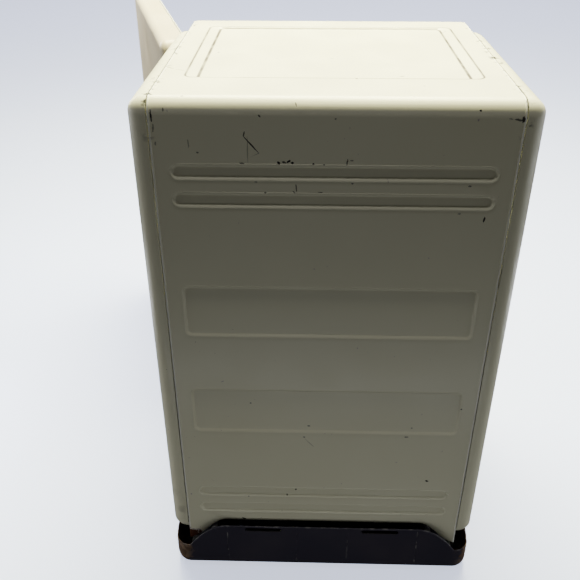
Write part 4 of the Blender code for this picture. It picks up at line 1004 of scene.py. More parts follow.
def make_front_frame(looks):
    """The channel round the opening, and the two cheeks behind the side shells' round corners."""
    low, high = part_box("front_frame")
    hole = (((OPENING_BOTTOM + OPENING_TOP) / 2, 0.0), ((OPENING_TOP - OPENING_BOTTOM) / 2, OPENING_HALF))
    outside = (((low.z + high.z) / 2, 0.0), ((high.z - low.z) / 2, high.x))
    front, rear = low.y, FRAME_REAR

    def loops(rows, rectangle, radius, sign):
        made = []
        for inset, y in rows:
            made.append(level(inset_rectangle(*rectangle, radius, sign * inset, 8), y))
        return made

    curl = [(0.0025 - 0.0025 * sin(radians(a)), front + 0.0025 - 0.0025 * cos(radians(a)))
            for a in range(90, -1, -15)]
    inner_edge = [(0.0, rear), *curl]
    outer_edge = [(0.0015 - 0.0015 * cos(radians(a)), front + 0.0015 - 0.0015 * sin(radians(a)))
                  for a in range(90, -1, -15)]
    rings = loops(inner_edge, hole, 0.006, -1)
    rings += loops(outer_edge, outside, 0.01, 1)
    rings += loops([(0.0, rear), (SHEET, rear), (SHEET, front + SHEET)], outside, 0.01, 1)
    rings += loops([(SHEET, front + SHEET), (SHEET, rear)], hole, 0.006, -1)
    shape = Shape().loft(rings, "Y", closed=True)
    cheek = eased([(-0.212, 0.765), (-0.13, 0.765), (-0.13, 0.8612), (-0.212, 0.8612)], 0.004, 4)
    for side in (-1, 1):
        shape.prism(cheek, *sorted((side * 0.2364, side * 0.2378)), "X")
    piece("front_frame_shell", shape, looks["cream"], "cabinet", ["front_frame"])
    corners = [(x, front, z) for x in (-0.22, 0.22) for z in (0.105, 0.3, 0.6)]
    shape = screw_heads(Shape(), corners, (0, -1, 0), 0.0036)
    piece("front_frame_screws", shape, looks["zinc"], "cabinet")


# Controls ---------------------------------------------------------------------------------


PANEL_LOW, PANEL_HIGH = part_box("control_panel")
CONTROL_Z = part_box("pilot_lamp")[0].z / 2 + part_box("pilot_lamp")[1].z / 2


def at_control(node):
    low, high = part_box(node)
    return Matrix.Translation(((low.x + high.x) / 2, PANEL_LOW.y, CONTROL_Z))


def make_controls(looks):
    front = PANEL_LOW.y
    middle = ((PANEL_LOW.z + PANEL_HIGH.z) / 2, 0.0)
    half = ((PANEL_HIGH.z - PANEL_LOW.z) / 2, PANEL_HIGH.x)
    rings = []
    for inset, y in ((0.0, PANEL_HIGH.y), (0.0, front + 0.0025), (0.0003, front + 0.0012),
                     (0.0012, front + 0.0003), (0.0024, front), (0.0034, front), (0.0038, front + 0.0005),
                     (0.0044, front + 0.0005)):
        rings.append(level(inset_rectangle(middle, half, 0.004, inset, 6), y))
    bores = []
    for node, radius in (("selector_knob", 0.0042), ("start_button", 0.0078), ("stop_button", 0.0078),
                         ("pilot_lamp", 0.0048), ("key_cylinder", 0.0088)):
        hole = [(radius, -0.01), (radius, PANEL_HIGH.y - front - 0.0016)]
        bores.append(Shape().turned(hole, "Y", move=at_control(node)))
    strip = Shape().loft(rings, "Y")
    piece("control_strip", strip, looks["panel"], "cabinet", ["control_panel"], cutters=bores, sharp=30)
    bezels = Shape()
    for node, inner in (("start_button", 0.0079), ("stop_button", 0.0079), ("pilot_lamp", 0.0049),
                        ("key_cylinder", 0.0089)):
        ring = [(inner, 0.0008), (inner + 0.0018, 0.0008), (inner + 0.0018, -0.0004),
                (inner + 0.0012, -0.001), (inner, -0.0008)]
        bezels.turned(ring, "Y", closed=True, move=at_control(node))
    piece("control_bezels", bezels, looks["chrome"], "cabinet")
    make_strip_trim(looks, front)
    make_knob(looks)
    for colour, node in (("green", "start_button"), ("red", "stop_button")):
        cap = [(0.0074, 0.0055), (0.0074, -0.0036), (0.0071, -0.0044), (0.0064, -0.0049), (0.005, -0.0047),
               (0.002, -0.0044)]
        shape = Shape().turned(cap, "Y")
        piece(f"{node}_cap", shape, looks[colour], node, [node], place=at_control(node))
    lens = [(0.0044, 0.009), (0.0044, -0.0012)]
    lens += [(0.0044 * cos(radians(a)), -0.0012 - 0.0014 * sin(radians(a))) for a in (20, 40, 60, 80)]
    shape = Shape().turned(lens, "Y", sides=32)
    piece("pilot_lens", shape, looks["amber"], "cabinet", ["pilot_lamp"], place=at_control("pilot_lamp"))
    plug = [(0.0084, 0.009), (0.0084, -0.0016), (0.008, -0.0026), (0.006, -0.0028), (0.0056, -0.0022),
            (0.001, -0.0022)]
    slot = Shape().block((-0.0009, -0.005, -0.0042), (0.0009, 0.004, 0.0042))
    shape = Shape().turned(plug, "Y")
    piece("key_lock_plug", shape, looks["zinc"], "key", ["key_cylinder"], place=at_control("key_cylinder"),
          cutters=[slot])


def make_strip_trim(looks, front):
    """Chrome line under the strip, and a dial of printed ticks round the knob."""
    trim = Shape().block((PANEL_LOW.x + 0.004, front - 0.0004, PANEL_LOW.z - 0.0016),
                         (PANEL_HIGH.x - 0.004, front + 0.004, PANEL_LOW.z - 0.0002))
    piece("strip_chrome_line", trim, looks["chrome"], "cabinet", bevel=0.0004)
    ticks = Shape()
    for i in range(7):
        turn = Matrix.Rotation(radians(-60 + 20 * i), 4, "Y")
        long = 0.0142 if i % 3 == 0 else 0.0136
        outline = [(-0.0004, 0.0126), (0.0004, 0.0126), (0.0004, long), (-0.0004, long)]
        ring = [level([(z, x) for x, z in outline], y) for y in (0.0006, 0.0003)]
        ticks.loft(ring, "Y", move=at_control("selector_knob") @ turn)
    for node in ("start_button", "stop_button"):
        ticks.block((-0.006, 0.0003, -0.0128), (0.006, 0.0006, -0.0122), move=at_control(node))
    piece("dial_ticks", ticks, looks["ink"], "cabinet")


def make_knob(looks):
    """A fluted knob with a raised pointer."""
    rings = []
    flutes = 24
    rows = ((0.0038, 0.009, 0), (0.0038, -0.0008, 0), (0.0118, -0.0008, 0), (0.012, -0.0014, 0),
            (0.012, -0.003, 0))
    rows += ((0.0104, -0.004, 1), (0.01, -0.006, 1), (0.0094, -0.014, 1), (0.0088, -0.0154, 0),
             (0.0076, -0.0162, 0))
    rows += ((0.006, -0.016, 0), (0.002, -0.0158, 0))
    for radius, height, fluted in rows:
        ring = []
        for i in range(flutes * 6):
            turn = 2 * pi * i / (flutes * 6)
            reach = radius - fluted * 0.0005 * (0.5 - 0.5 * cos(flutes * turn))
            ring.append((reach * cos(turn), reach * sin(turn), height))
        rings.append(ring)
    place = at_control("selector_knob")
    piece("selector_knob_cap", Shape().loft(rings, "Y"), looks["plastic"], "selector_knob", ["selector_knob"],
          place=place)
    line = Shape().block((-0.0006, -0.0168, 0.001), (0.0006, -0.0158, 0.008))
    piece("knob_pointer_line", line, looks["ink"], "selector_knob", place=place, bevel=0.0002)


# Door -------------------------------------------------------------------------------------


def make_door(looks):
    low, high = box_in("door_outer_pan", DOOR)
    centre = ((low.z + high.z) / 2, (low.x + high.x) / 2)
    half = ((high.z - low.z) / 2, (high.x - low.x) / 2)
    rear, face = high.y, low.y
    rings = pan_rings(centre, half, 0.02, 0.014, rear, face)
    piece("door_shell", Shape().loft(rings, "Y"), looks["cream_door_shaded"], "door", ["door_outer_pan"],
          place=DOOR)
    make_door_liner(looks, centre, half, rear)
    make_door_seal(looks, centre, half, rear)
    make_door_pull(looks, face)
    magnet_low, magnet_high = box_in("door_magnet", DOOR)
    poles = Shape()
    for x in (magnet_low.x + 0.0012, magnet_high.x - 0.0024):
        poles.block((x, magnet_high.y, magnet_low.z + 0.002),
                    (x + 0.0012, magnet_high.y + 0.0003, magnet_high.z - 0.002))
    piece("magnet_poles", poles, looks["zinc"], "door", place=DOOR)


def make_door_liner(looks, centre, half, rear):
    """The door's inner sheet: a border, a step down to a tray, and raised beads across it."""
    border, tray = 0.04, 0.014
    radius = 0.03
    outline = inset_rectangle(centre, half, radius, 0.002, 8)
    edge = (half[0] - border, half[1] - border)
    pressings = [wall(centre, edge, 0.012, 0.018, tray, steps=10)]
    floor = (edge[0] - 0.018, edge[1] - 0.018)
    for i in range(5):
        z = centre[0] + floor[0] * (-0.72 + 0.36 * i)
        pressings.append(wall((z, centre[1]), (0.008, floor[1] - 0.03), 0.0079, 0.006, -0.004, steps=6))
    shape = Shape().pressed(outline, pressings, [], lambda a, b, depth: Vector((b, rear - 0.0004 - depth, a)))
    piece("door_liner", shape, looks["liner"], "door", ["door_inner_panel"], place=DOOR, thickness=0.001,
          sharp=30, outwards=Vector((0, 1, 0)))


def make_door_seal(looks, centre, half, rear):
    """A vinyl seal: a foot, a folded neck and a rounded hollow bulb."""
    section = [(0.0075, 0.0), (0.0075, 0.0015), (0.004, 0.0018), (0.0022, 0.002), (0.0012, 0.0025),
               (0.0008, 0.0033)]
    section += [(0.0012, 0.0042), (0.0022, 0.0048), (0.004, 0.005), (0.012, 0.0047), (0.0215, 0.005)]
    section += [(0.0238, 0.0047), (0.025, 0.004), (0.025, 0.0028), (0.024, 0.0018), (0.0222, 0.0014),
                (0.0246, 0.0008), (0.0255, 0.0)]
    rings = [level(inset_rectangle(centre, half, 0.02, inset, 10), rear + y) for inset, y in section]
    shape = Shape().loft(rings, "Y", closed=True)
    piece("door_seal", shape, looks["vinyl"], "door", ["door_gasket"], place=DOOR)


def make_door_pull(looks, face):
    """A cast pull with two flared feet and a softened grip."""
    low, high = box_in("door_handle", DOOR)
    near, grip = face - 0.0003, low.y
    outer = [(low.z, near), (low.z, near - 0.016), (low.z + 0.018, grip), (high.z - 0.018, grip),
             (high.z, near - 0.016), (high.z, near)]
    inner = [(high.z - 0.015, near), (high.z - 0.013, near - 0.013), (high.z - 0.024, grip + 0.0095),
             (low.z + 0.024, grip + 0.0095)]
    inner += [(low.z + 0.013, near - 0.013), (low.z + 0.015, near)]
    outline = [(y, z) for z, y in eased(outer, 0.012, 6) + eased(inner, 0.01, 6)]
    shape = Shape().prism(outline, low.x, high.x, "X")
    piece("door_pull", shape, looks["chrome"], "door", ["door_handle"], place=DOOR, bevel=0.0028, segments=5)


def make_hinges(looks):
    frame_screws, door_screws = Shape(), Shape()
    for name in ("upper", "lower"):
        low, high = box_in(f"{name}_hinge_frame_leaf", closed_place())
        make_leaf(looks, f"{name}_hinge_frame_plate", f"{name}_hinge_frame_leaf", "cabinet", closed_place(),
                  low, high, 1)
        middle = (low.z + high.z) / 2
        for z in (-0.019, 0.019):
            spot = closed_place() @ Vector((high.x, high.y - 0.01, middle + z))
            screw_heads(frame_screws, [spot], (1, 0, 0), 0.0042)
        low, high = box_in(f"{name}_hinge_door_leaf", DOOR)
        make_leaf(looks, f"{name}_hinge_door_plate", f"{name}_hinge_door_leaf", "door", DOOR, low, high, -1)
        for z in (-0.019, 0.019):
            screw_heads(door_screws, [Vector((high.x - 0.003, low.y + 0.007, middle + z))], (1, 0, 0), 0.0036)
        pin = [(0.002, middle - 0.032), (0.0022, middle - 0.0315), (0.0022, middle + 0.0303),
               (0.0036, middle + 0.0303)]
        pin += [(0.0036, middle + 0.0318), (0.0032, middle + 0.0328), (0.002, middle + 0.0335)]
        shape = Shape().turned(pin, sides=32)
        piece(f"{name}_hinge_pin_rod", shape, looks["zinc"], "cabinet", [f"{name}_hinge_pin"],
              place=closed_place())
    piece("hinge_frame_screws", frame_screws, looks["zinc"], "cabinet")
    piece("hinge_door_screws", door_screws, looks["zinc"], "door", place=DOOR)


def closed_place():
    """The hinge line, not turned."""
    return Matrix.Translation(DOOR.translation)


def make_leaf(looks, name, node, body, place, low, high, side):
    """A hinge leaf: a plate with eased corners, and its knuckles rolled round the pin."""
    middle = (low.z + high.z) / 2
    plate_x = (closed_leaf_x(), closed_leaf_x() + 0.002)
    near = side * 0.0056
    far = high.y if side > 0 else low.y
    spans = [(-0.01, 0.01)] if side > 0 else [(-0.03, -0.0103), (0.0103, 0.03)]
    points = [(far, middle + 0.0294), (far, middle - 0.0294), (near, middle - 0.0294),
              (near, middle + 0.0294)]
    shape = Shape().prism(eased(points, 0.005, 5), *plate_x, "X")
    for bottom, top in spans:
        tongue = [(near + side * 0.004, middle + bottom + 0.0006),
                  (near + side * 0.004, middle + top - 0.0006)]
        tongue += [(0.0, middle + top - 0.0006), (0.0, middle + bottom + 0.0006)]
        shape.prism(tongue, plate_x[0] + 0.0001, plate_x[1] - 0.0001, "X")
        barrel = [(0.0026, middle + bottom), (0.0046, middle + bottom), (0.005, middle + bottom + 0.0004)]
        barrel += [(0.005, middle + top - 0.0004), (0.0046, middle + top), (0.0026, middle + top)]
        shape.turned(barrel, closed=True, sides=32)
    piece(name, shape, looks["zinc"], body, [node], place=place, bevel=0.0003, segments=2)


def closed_leaf_x():
    """Where the closed leaves' inner faces lie, measured from the hinge line."""
    return box_in("upper_hinge_frame_leaf", closed_place())[0].x


# Container and rollers --------------------------------------------------------------------


def make_container(looks):
    """An enamelled bin with a rolled rim, stiffening beads and a rounded floor edge."""
    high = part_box("waste_container")[1]
    bottom = 0.139
    half, wall, radius = (high.x, high.y), 0.0016, 0.016
    profile = [(0.012, bottom), (0.0075, bottom + 0.0007), (0.004, bottom + 0.0026), (0.0018, bottom + 0.006),
               (0.0016, bottom + 0.01)]
    for centre in (0.215, 0.355):
        for i in range(9):
            z = centre + 0.01 * (i - 4) / 4
            profile.append((0.0016 - 0.0013 * cos(pi * (i - 4) / 8), z))
    profile += [(0.0016, high.z - 0.012)]
    rolled = [(0.0025 + 0.0025 * cos(radians(a)), high.z - 0.0025 + 0.0025 * sin(radians(a)))
              for a in range(230, -1, -23)]
    outer = [(i, z) for i, z in profile] + rolled
    inner = [(0.0034, high.z - 0.01)]
    inner += [(i + wall, z + (wall if k < 2 else 0.0)) for k, (i, z) in enumerate(profile)][::-1]
    rings = [level(inset_rectangle((0, 0), half, radius, inset), z) for inset, z in outer + inner]
    piece("container_bin", Shape().loft(rings), looks["bin"], "container", ["waste_container"], sharp=45)
    lugs = Shape()
    rear_low, rear_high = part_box("rear_rollers")
    axle = ((rear_low.y + rear_high.y) / 2, (rear_low.z + rear_high.z) / 2)
    for side in (-1, 1):
        outline = [(axle[0] - 0.011, bottom), (axle[0] - 0.011, axle[1] + 0.004),
                   (axle[0] - 0.006, axle[1] - 0.0095)]
        outline += [(axle[0] + 0.006, axle[1] - 0.0095), (axle[0] + 0.011, axle[1] + 0.004),
                    (axle[0] + 0.011, bottom)]
        x = sorted((side * 0.165, side * 0.168))
        lugs.prism(eased(outline, 0.004), *x, "X")
    piece("roller_brackets", lugs, looks["zinc"], "container", bevel=0.0004)
    make_container_grip(looks)
    for node, wheel_x in (("rear_rollers", 0.156), ("front_rollers", 0.178)):
        make_roller(looks, node, wheel_x)


def make_container_grip(looks):
    low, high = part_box("container_handle")
    front, near = low.y, high.y
    outer = [(low.x, near), (low.x, front + 0.004), (low.x + 0.01, front), (high.x - 0.01, front),
             (high.x, front + 0.004), (high.x, near)]
    inner = [(high.x - 0.009, near), (high.x - 0.009, front + 0.011), (high.x - 0.014, front + 0.008),
             (low.x + 0.014, front + 0.008)]
    inner += [(low.x + 0.009, front + 0.011), (low.x + 0.009, near)]
    shape = Shape().prism(eased(outer, 0.006, 5) + eased(inner, 0.005, 5), low.z, high.z)
    piece("container_grip", shape, looks["chrome"], "container", ["container_handle"], bevel=0.0022,
          segments=4)
    centres = [(x, near + 0.0004, low.z - 0.01) for x in (-0.04, 0.04)]
    shape = rivets(Shape(), centres, (0, -1, 0), 0.0035)
    piece("container_rivets", shape, looks["zinc"], "container")


def make_roller(looks, node, wheel_x):
    low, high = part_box(node)
    place = Matrix.Translation((0.0, (low.y + high.y) / 2, (low.z + high.z) / 2))
    radius, half = (high.z - low.z) / 2, 0.006
    wheels = Shape()
    for x in (-wheel_x, wheel_x):
        profile = [(0.0041, -half), (0.0075, -half), (0.008, -half + 0.0012),
                   (radius - 0.0035, -half + 0.0012)]
        profile += [(radius - 0.003, -half), (radius - 0.001, -half), (radius, -half + 0.0012),
                    (radius, -0.0008)]
        profile += [(radius - 0.0005, 0.0)]
        profile += [(r, -h) for r, h in reversed(profile[:-1])]
        wheels.turned([(r, x + h) for r, h in profile], "X", closed=True)
    piece(f"{node}_wheels", wheels, looks["plastic"], node, [node], place=place)
    end = high.x
    rod = [(0.0034, -end), (0.004, -end + 0.0006), (0.004, end - 0.0006), (0.0034, end)]
    axle = Shape().turned(rod, "X", sides=32)
    for side in (-1, 1):
        axle.turned([(0.0042, side * (end - 0.003)), (0.0066, side * (end - 0.003)),
                     (0.0066, side * (end - 0.002)), (0.0042, side * (end - 0.002))], "X", closed=True,
                    sides=24)
    piece(f"{node}_axle", axle, looks["zinc"], node, place=place)


# Chamber and frame ------------------------------------------------------------------------


def make_liners(looks):
    """Enamelled sheets round the chamber, with upright beads and a rim bent outwards."""
    for name, side in SIDES:
        low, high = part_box(f"{name}_liner")
        near = min(abs(low.x), abs(high.x))
        make_liner(looks, name, low.y, high.y, low.z, high.z,
                   lambda a, b, depth, s=side, n=near: Vector((s * (n + depth), a, b)), Vector((-side, 0, 0)))
    low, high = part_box("back_liner")
    make_liner(looks, "back", low.x, high.x, low.z, high.z,
               lambda a, b, depth, n=low.y: Vector((a, n + depth, b)), Vector((0, -1, 0)))


def make_liner(looks, name, start, end, bottom, top, bend, outwards):
    outline = [(start, bottom), (end, bottom), (end, top), (start, top)]
    count = 5
    beads = []
    for i in range(count):
        middle = (lerp(start, end, (i + 0.5) / count), (bottom + top) / 2)
        beads.append(wall(middle, (0.009, (top - bottom) / 2 - 0.045), 0.0089, 0.006, 0.002, steps=6))
    rim = top - 0.004
    lines = [[(start, rim), (end, rim)], [(start, rim + 0.002), (end, rim + 0.002)]]

    def shaped(a, b, depth):
        roll = max(0.0, b - rim) / 0.004
        return bend(a, b - 0.0006 * roll**2, depth + 0.0075 * roll**2)

    shape = Shape().pressed(outline, beads, lines, shaped)
    piece(f"{name}_liner_sheet", shape, looks["liner"], "cabinet", [f"{name}_liner"], thickness=0.0012,
          sharp=30, outwards=outwards)


def section(looks, name, node, outline, axis, look="galvanised", body="cabinet", radius=0.0035, bores=()):
    """A bent sheet-metal section along an axis, as long as its CAD node."""
    low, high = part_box(node)
    index = "XYZ".index(axis)
    shape = Shape().prism(eased(outline, radius), low[index], high[index], axis)
    extra = {"cutters": list(bores)} if bores else {}
    piece(name, shape, looks[look], body, [node], bevel=0.0004, segments=2, **extra)


def channel(a, b, half, wall):
    """Outline of a C channel between a and b, open towards a, half deep each way."""
    points = [(a, -half), (b, -half), (b, half), (a, half)]
    step = copysign(wall, a - b)
    return points + [(a, half - wall), (b + step, half - wall), (b + step, -half + wall), (a, -half + wall)]


def make_structure(looks):
    for name, side in SIDES:
        low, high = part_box(f"{name}_upright")
        near, far = sorted((abs(low.x), abs(high.x)))
        section(looks, f"{name}_upright_channel", f"{name}_upright",
                channel(side * near, side * far, high.y, 0.0025), "Z")
        low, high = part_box(f"{name}_ram_strut")
        near, far = sorted((abs(low.x), abs(high.x)))
        section(looks, f"{name}_strut_channel", f"{name}_ram_strut",
                channel(side * near, side * far, high.y, 0.003), "Z", body="ram")
        make_bearings(looks, name, side)
    low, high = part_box("top_crossbeam")
    outline = [(b, a) for a, b in channel(low.z, high.z, high.y, 0.0025)]
    section(looks, "crossbeam_channel", "top_crossbeam", outline, "X")
    low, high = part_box("ram_crosshead")
    outline = [(b, a) for a, b in channel(low.z, high.z, high.y, 0.003)]
    bores = [Shape().turned([(0.0105, low.z), (0.0105, high.z + 0.01)], centre=(side * SCREW_X, 0.0))
             for side in (-1, 1)]
    section(looks, "crosshead_channel", "ram_crosshead", outline, "X", body="ram", bores=bores)
    bolts = hex_bolts(Shape(), [(side * x, y, high.z) for side in (-1, 1) for x in (0.104, 0.114)
                                for y in (-0.01, 0.01)], (0, 0, 1), 0.0032)
    piece("crosshead_bolts", bolts, looks["zinc"], "ram")
    make_ram_plate(looks)
    beam_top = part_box("top_crossbeam")[1].z
    spots = [(side * SCREW_X + x, y, beam_top) for side in (-1, 1) for x in (-0.013, 0.013)
             for y in (-0.016, 0.016)]
    piece("crossbeam_bolts", hex_bolts(Shape(), spots, (0, 0, 1), 0.004), looks["zinc"], "cabinet")


def make_ram_plate(looks):
    """The platen: a dished plate with a folded rim and raised ribs along its upper face."""
    low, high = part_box("ram_plate")
    half = (high.x, high.y)
    rows = [(0.006, low.z), (0.0025, low.z + 0.0008), (0.0006, low.z + 0.003), (0.0, low.z + 0.006),
            (0.0, high.z - 0.0005), (0.0005, high.z)]
    rows += [(0.002, high.z), (0.0025, high.z - 0.0005), (0.0025, low.z + 0.008), (0.004, low.z + 0.005),
             (0.007, low.z + 0.004)]
    rings = [level(inset_rectangle((0, 0), half, 0.012, inset), z) for inset, z in rows]
    plate = Shape().loft(rings)
    for y in (-0.11, -0.055, 0.055, 0.11):
        outline = rounded_rectangle((0.0, y), (half[0] - 0.012, 0.006), 0.0055, 6)
        inner = rounded_rectangle((0.0, y), (half[0] - 0.014, 0.003), 0.0028, 6)
        plate.loft([level(outline, low.z + 0.0035), level(outline, low.z + 0.006),
                    level(inner, low.z + 0.009)])
    piece("ram_platen", plate, looks["galvanised"], "ram", ["ram_plate"], sharp=45)
    spots = [(x, y, low.z + 0.0042) for x in (-0.15, -0.075, 0.075, 0.15) for y in (-0.15, 0.15)]
    piece("platen_bolts", hex_bolts(Shape(), spots, (0, 0, 1), 0.004), looks["zinc"], "ram")


def make_bearings(looks, name, side):
    for level_name in ("lower", "upper"):
        node = f"{name}_{level_name}_bearing"
        low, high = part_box(node)
        outer = (high.x - low.x) / 2
        bore, lip = 0.0068, 0.0012
        profile = [(bore, low.z), (outer - 0.0006, low.z), (outer, low.z + 0.0006), (outer, low.z + 0.005),
                   (outer - 0.003, low.z + 0.0075)]
        profile += [(outer - 0.0036, high.z - 0.003), (outer - 0.005, high.z - lip), (bore + 0.003, high.z),
                    (bore + 0.0004, high.z), (bore, high.z - 0.0004)]
        shape = Shape().turned(profile, centre=(side * SCREW_X, 0.0), closed=True)
        piece(f"{node}_housing", shape, looks["bearing"], "cabinet", [node])


# Drive ------------------------------------------------------------------------------------

SCREW_X = (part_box("right_power_screw")[0].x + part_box("right_power_screw")[1].x) / 2
THREAD_LEAD = 0.02
THREAD_STARTS = 4


def make_screw(looks, name, side):
    """A right-hand four-start power screw with plain journals at both ends."""
    low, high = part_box(f"{name}_power_screw")
    crest, root, journal = 0.0085, 0.0072, 0.0065
    start, end = 0.064, 0.8085
    sides = 32
    rows = 6 * THREAD_STARTS * int((end - start) / THREAD_LEAD)
    foot = [(journal - 0.0006, low.z), (journal, low.z + 0.0006), (journal, 0.04), (crest, 0.0402)]
    rings = [level(circle(r, sides), z) for r, z in foot + [(crest, start - 0.0005)]]
    for i in range(rows + 1):
        z = lerp(start, end, i / rows)
        ring = []
        for k in range(sides):
            phase = ((z / THREAD_LEAD - k / sides) * THREAD_STARTS) % 1.0
            tooth = min(max((abs(phase - 0.5) * 2 - 0.32) / 0.36, 0.0), 1.0)
            radius = lerp(root, crest, tooth)
            turn = 2 * pi * k / sides
            ring.append((radius * cos(turn), radius * sin(turn), z))
        rings.append(ring)
    head = [(crest, end + 0.0005), (crest, 0.81), (journal, 0.8103), (journal, high.z - 0.0006)]
    rings += [level(circle(r, sides), z) for r, z in head + [(journal - 0.0006, high.z)]]
    place = Matrix.Translation((side * SCREW_X, 0.0, 0.0))
    body = f"{name}_screw"
    piece(f"{name}_threaded_screw", Shape().loft(rings), looks["zinc"], body, [f"{name}_power_screw"],
          place=place, sharp=35)
    make_sprocket(looks, f"{name}_sprocket", body, place, 12, 0.0088)
    low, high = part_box(f"{name}_drive_nut")
    bore = 0.0089
    profile = [(bore, high.z), (0.016, high.z), (0.0165, high.z - 0.0005), (0.0165, high.z - 0.0075),
               (0.0158, high.z - 0.0084)]
    profile += [(0.0137, high.z - 0.0092), (0.0135, high.z - 0.01), (0.0135, low.z + 0.001), (0.0125, low.z),
                (bore, low.z)]
    shape = Shape().turned(profile, centre=(side * SCREW_X, 0.0), closed=True)
    piece(f"{name}_bronze_nut", shape, looks["bronze"], "ram", [f"{name}_drive_nut"])


def make_sprocket(looks, node, body, place, teeth, bore):
    """Rounded teeth round a flat wheel with a raised hub."""
    low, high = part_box(node)
    radius = (high.x - low.x) / 2
    root = radius - 0.0035
    steps = teeth * 12
    outer = []
    for i in range(steps):
        tooth = 0.5 + 0.5 * cos(2 * pi * (i / 12 - 0.11))
        reach = lerp(root, radius, smoothstep((tooth - 0.15) / 0.7))
        turn = 2 * pi * i / steps
        outer.append((reach * cos(turn), reach * sin(turn)))
    rings = [level(circle(bore, steps), low.z - 0.0015), level(circle(bore + 0.004, steps), low.z - 0.0015),
             level(circle(bore + 0.004, steps), low.z)]
    rings += [level([(x * 0.97, y * 0.97) for x, y in outer], low.z), level(outer, low.z + 0.0008),
              level(outer, high.z - 0.0008)]
    rings += [level([(x * 0.97, y * 0.97) for x, y in outer], high.z),
              level(circle(bore + 0.004, steps), high.z)]
    rings += [level(circle(bore + 0.004, steps), high.z + 0.002), level(circle(bore, steps), high.z + 0.002)]
    piece(f"{node}_wheel", Shape().loft(rings, closed=True), looks["iron"], body, [node], place=place,
          sharp=30)


def loop_path(circles, grow, arc_step=6.0):
    """(point, outward normal) pairs round a belt over circles of (x, y, radius)."""
    normals = []
    for i, (x, y, r) in enumerate(circles):
        x2, y2, r2 = circles[(i + 1) % len(circles)]
        along = Vector((x2 - x, y2 - y))
        normals.append(atan2(along.y, along.x) - pi / 2 + asin((r - r2) / along.length))
    pairs = []
    for i, (x, y, r) in enumerate(circles):
        start, end = normals[i - 1], normals[i]
        while end < start:
            end += 2 * pi
        steps = ceil(degrees(end - start) / arc_step)
        for k in range(steps + 1):
            angle = lerp(start, end, k / steps)
            normal = Vector((cos(angle), sin(angle)))
            pairs.append((Vector((x, y)) + normal * (r + grow), normal))
    return pairs


def even_path(pairs, pitch):
    """Points a whole number of equal pitches apart round a closed path."""
    points = [p for p, _ in pairs]
    spans = [(points[(i + 1) % len(points)] - points[i]).length for i in range(len(points))]
    total = sum(spans)
    count = 2 * round(total / pitch / 2)
    found, i, passed = [], 0, 0.0
    for k in range(count):
        target = total * k / count
        while passed + spans[i] < target:
            passed += spans[i]
            i += 1
        found.append(points[i].lerp(points[(i + 1) % len(points)], (target - passed) / spans[i]))
    return found


def sprocket_circle(node):
    low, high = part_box(node)
    return ((low.x + high.x) / 2, (low.y + high.y) / 2, (high.x - low.x) / 2)


def make_chain(looks):
    """A roller chain: pairs of waisted plates, inner and outer in turn, with a roller at each pin."""
    low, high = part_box("drive_chain")
    circles = [sprocket_circle(n) for n in ("left_sprocket", "right_sprocket", "drive_sprocket")]
    points = even_path(loop_path(circles, 0.003), 0.008)
    chain = Shape()
    for i, point in enumerate(points):
        after = points[(i + 1) % len(points)]
        along = (after - point).normalized()
        across = Vector((-along.y, along.x))
        pitch = (after - point).length
        outline = []
        for s, w in ((-0.0016, 0.0), (-0.0012, 0.0013), (0.0, 0.0019), (0.0016, 0.0015), (0.5, 0.0011),
                     (1.0, 0.0015)):
            distance = s if s < 0.01 else (0.5 * pitch if s == 0.5 else pitch - 0.0016)
            outline.append((distance, w))
        outline += [(pitch, 0.0019), (pitch + 0.0012, 0.0013), (pitch + 0.0016, 0.0)]
        outline = outline + [(d, -w) for d, w in reversed(outline[1:-1])]
        plate = [tuple(point + along * d + across * w) for d, w in outline]
        inset = 0.0 if i % 2 else 0.0008
        chain.prism(plate, low.z + inset, low.z + inset + 0.0007)
        chain.prism(plate, high.z - inset - 0.0007, high.z - inset)
        chain.turned([(0.0014, low.z + 0.0016), (0.0014, high.z - 0.0016)], centre=tuple(point), sides=12)
    piece("roller_chain", chain, looks["iron"], "cabinet", ["drive_chain"], sharp=35)


def make_belt(looks):
    """A ribbed belt round the two pulleys."""
    low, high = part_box("drive_belt")
    circles = [sprocket_circle("large_pulley"), sprocket_circle("motor_pulley")]
    section_points = [(0.0, low.z)]
    for i in range(4):
        z = lerp(low.z, high.z, i / 4)
        step = (high.z - low.z) / 4
        section_points += [(0.0, z + 0.3 * step), (0.0009, z + 0.5 * step), (0.0, z + 0.7 * step)]
    section_points += [(0.0, high.z), (0.0026, high.z), (0.003, high.z - 0.0004), (0.003, low.z + 0.0004),
                       (0.0026, low.z)]
    rings = []
    for point, normal in loop_path(circles, 0.0005):
        rings.append([(*(point + normal * out), z) for out, z in section_points])
    piece("ribbed_belt", Shape().loft(rings, closed=True), looks["rubber"], "cabinet", ["drive_belt"],
          sharp=35)


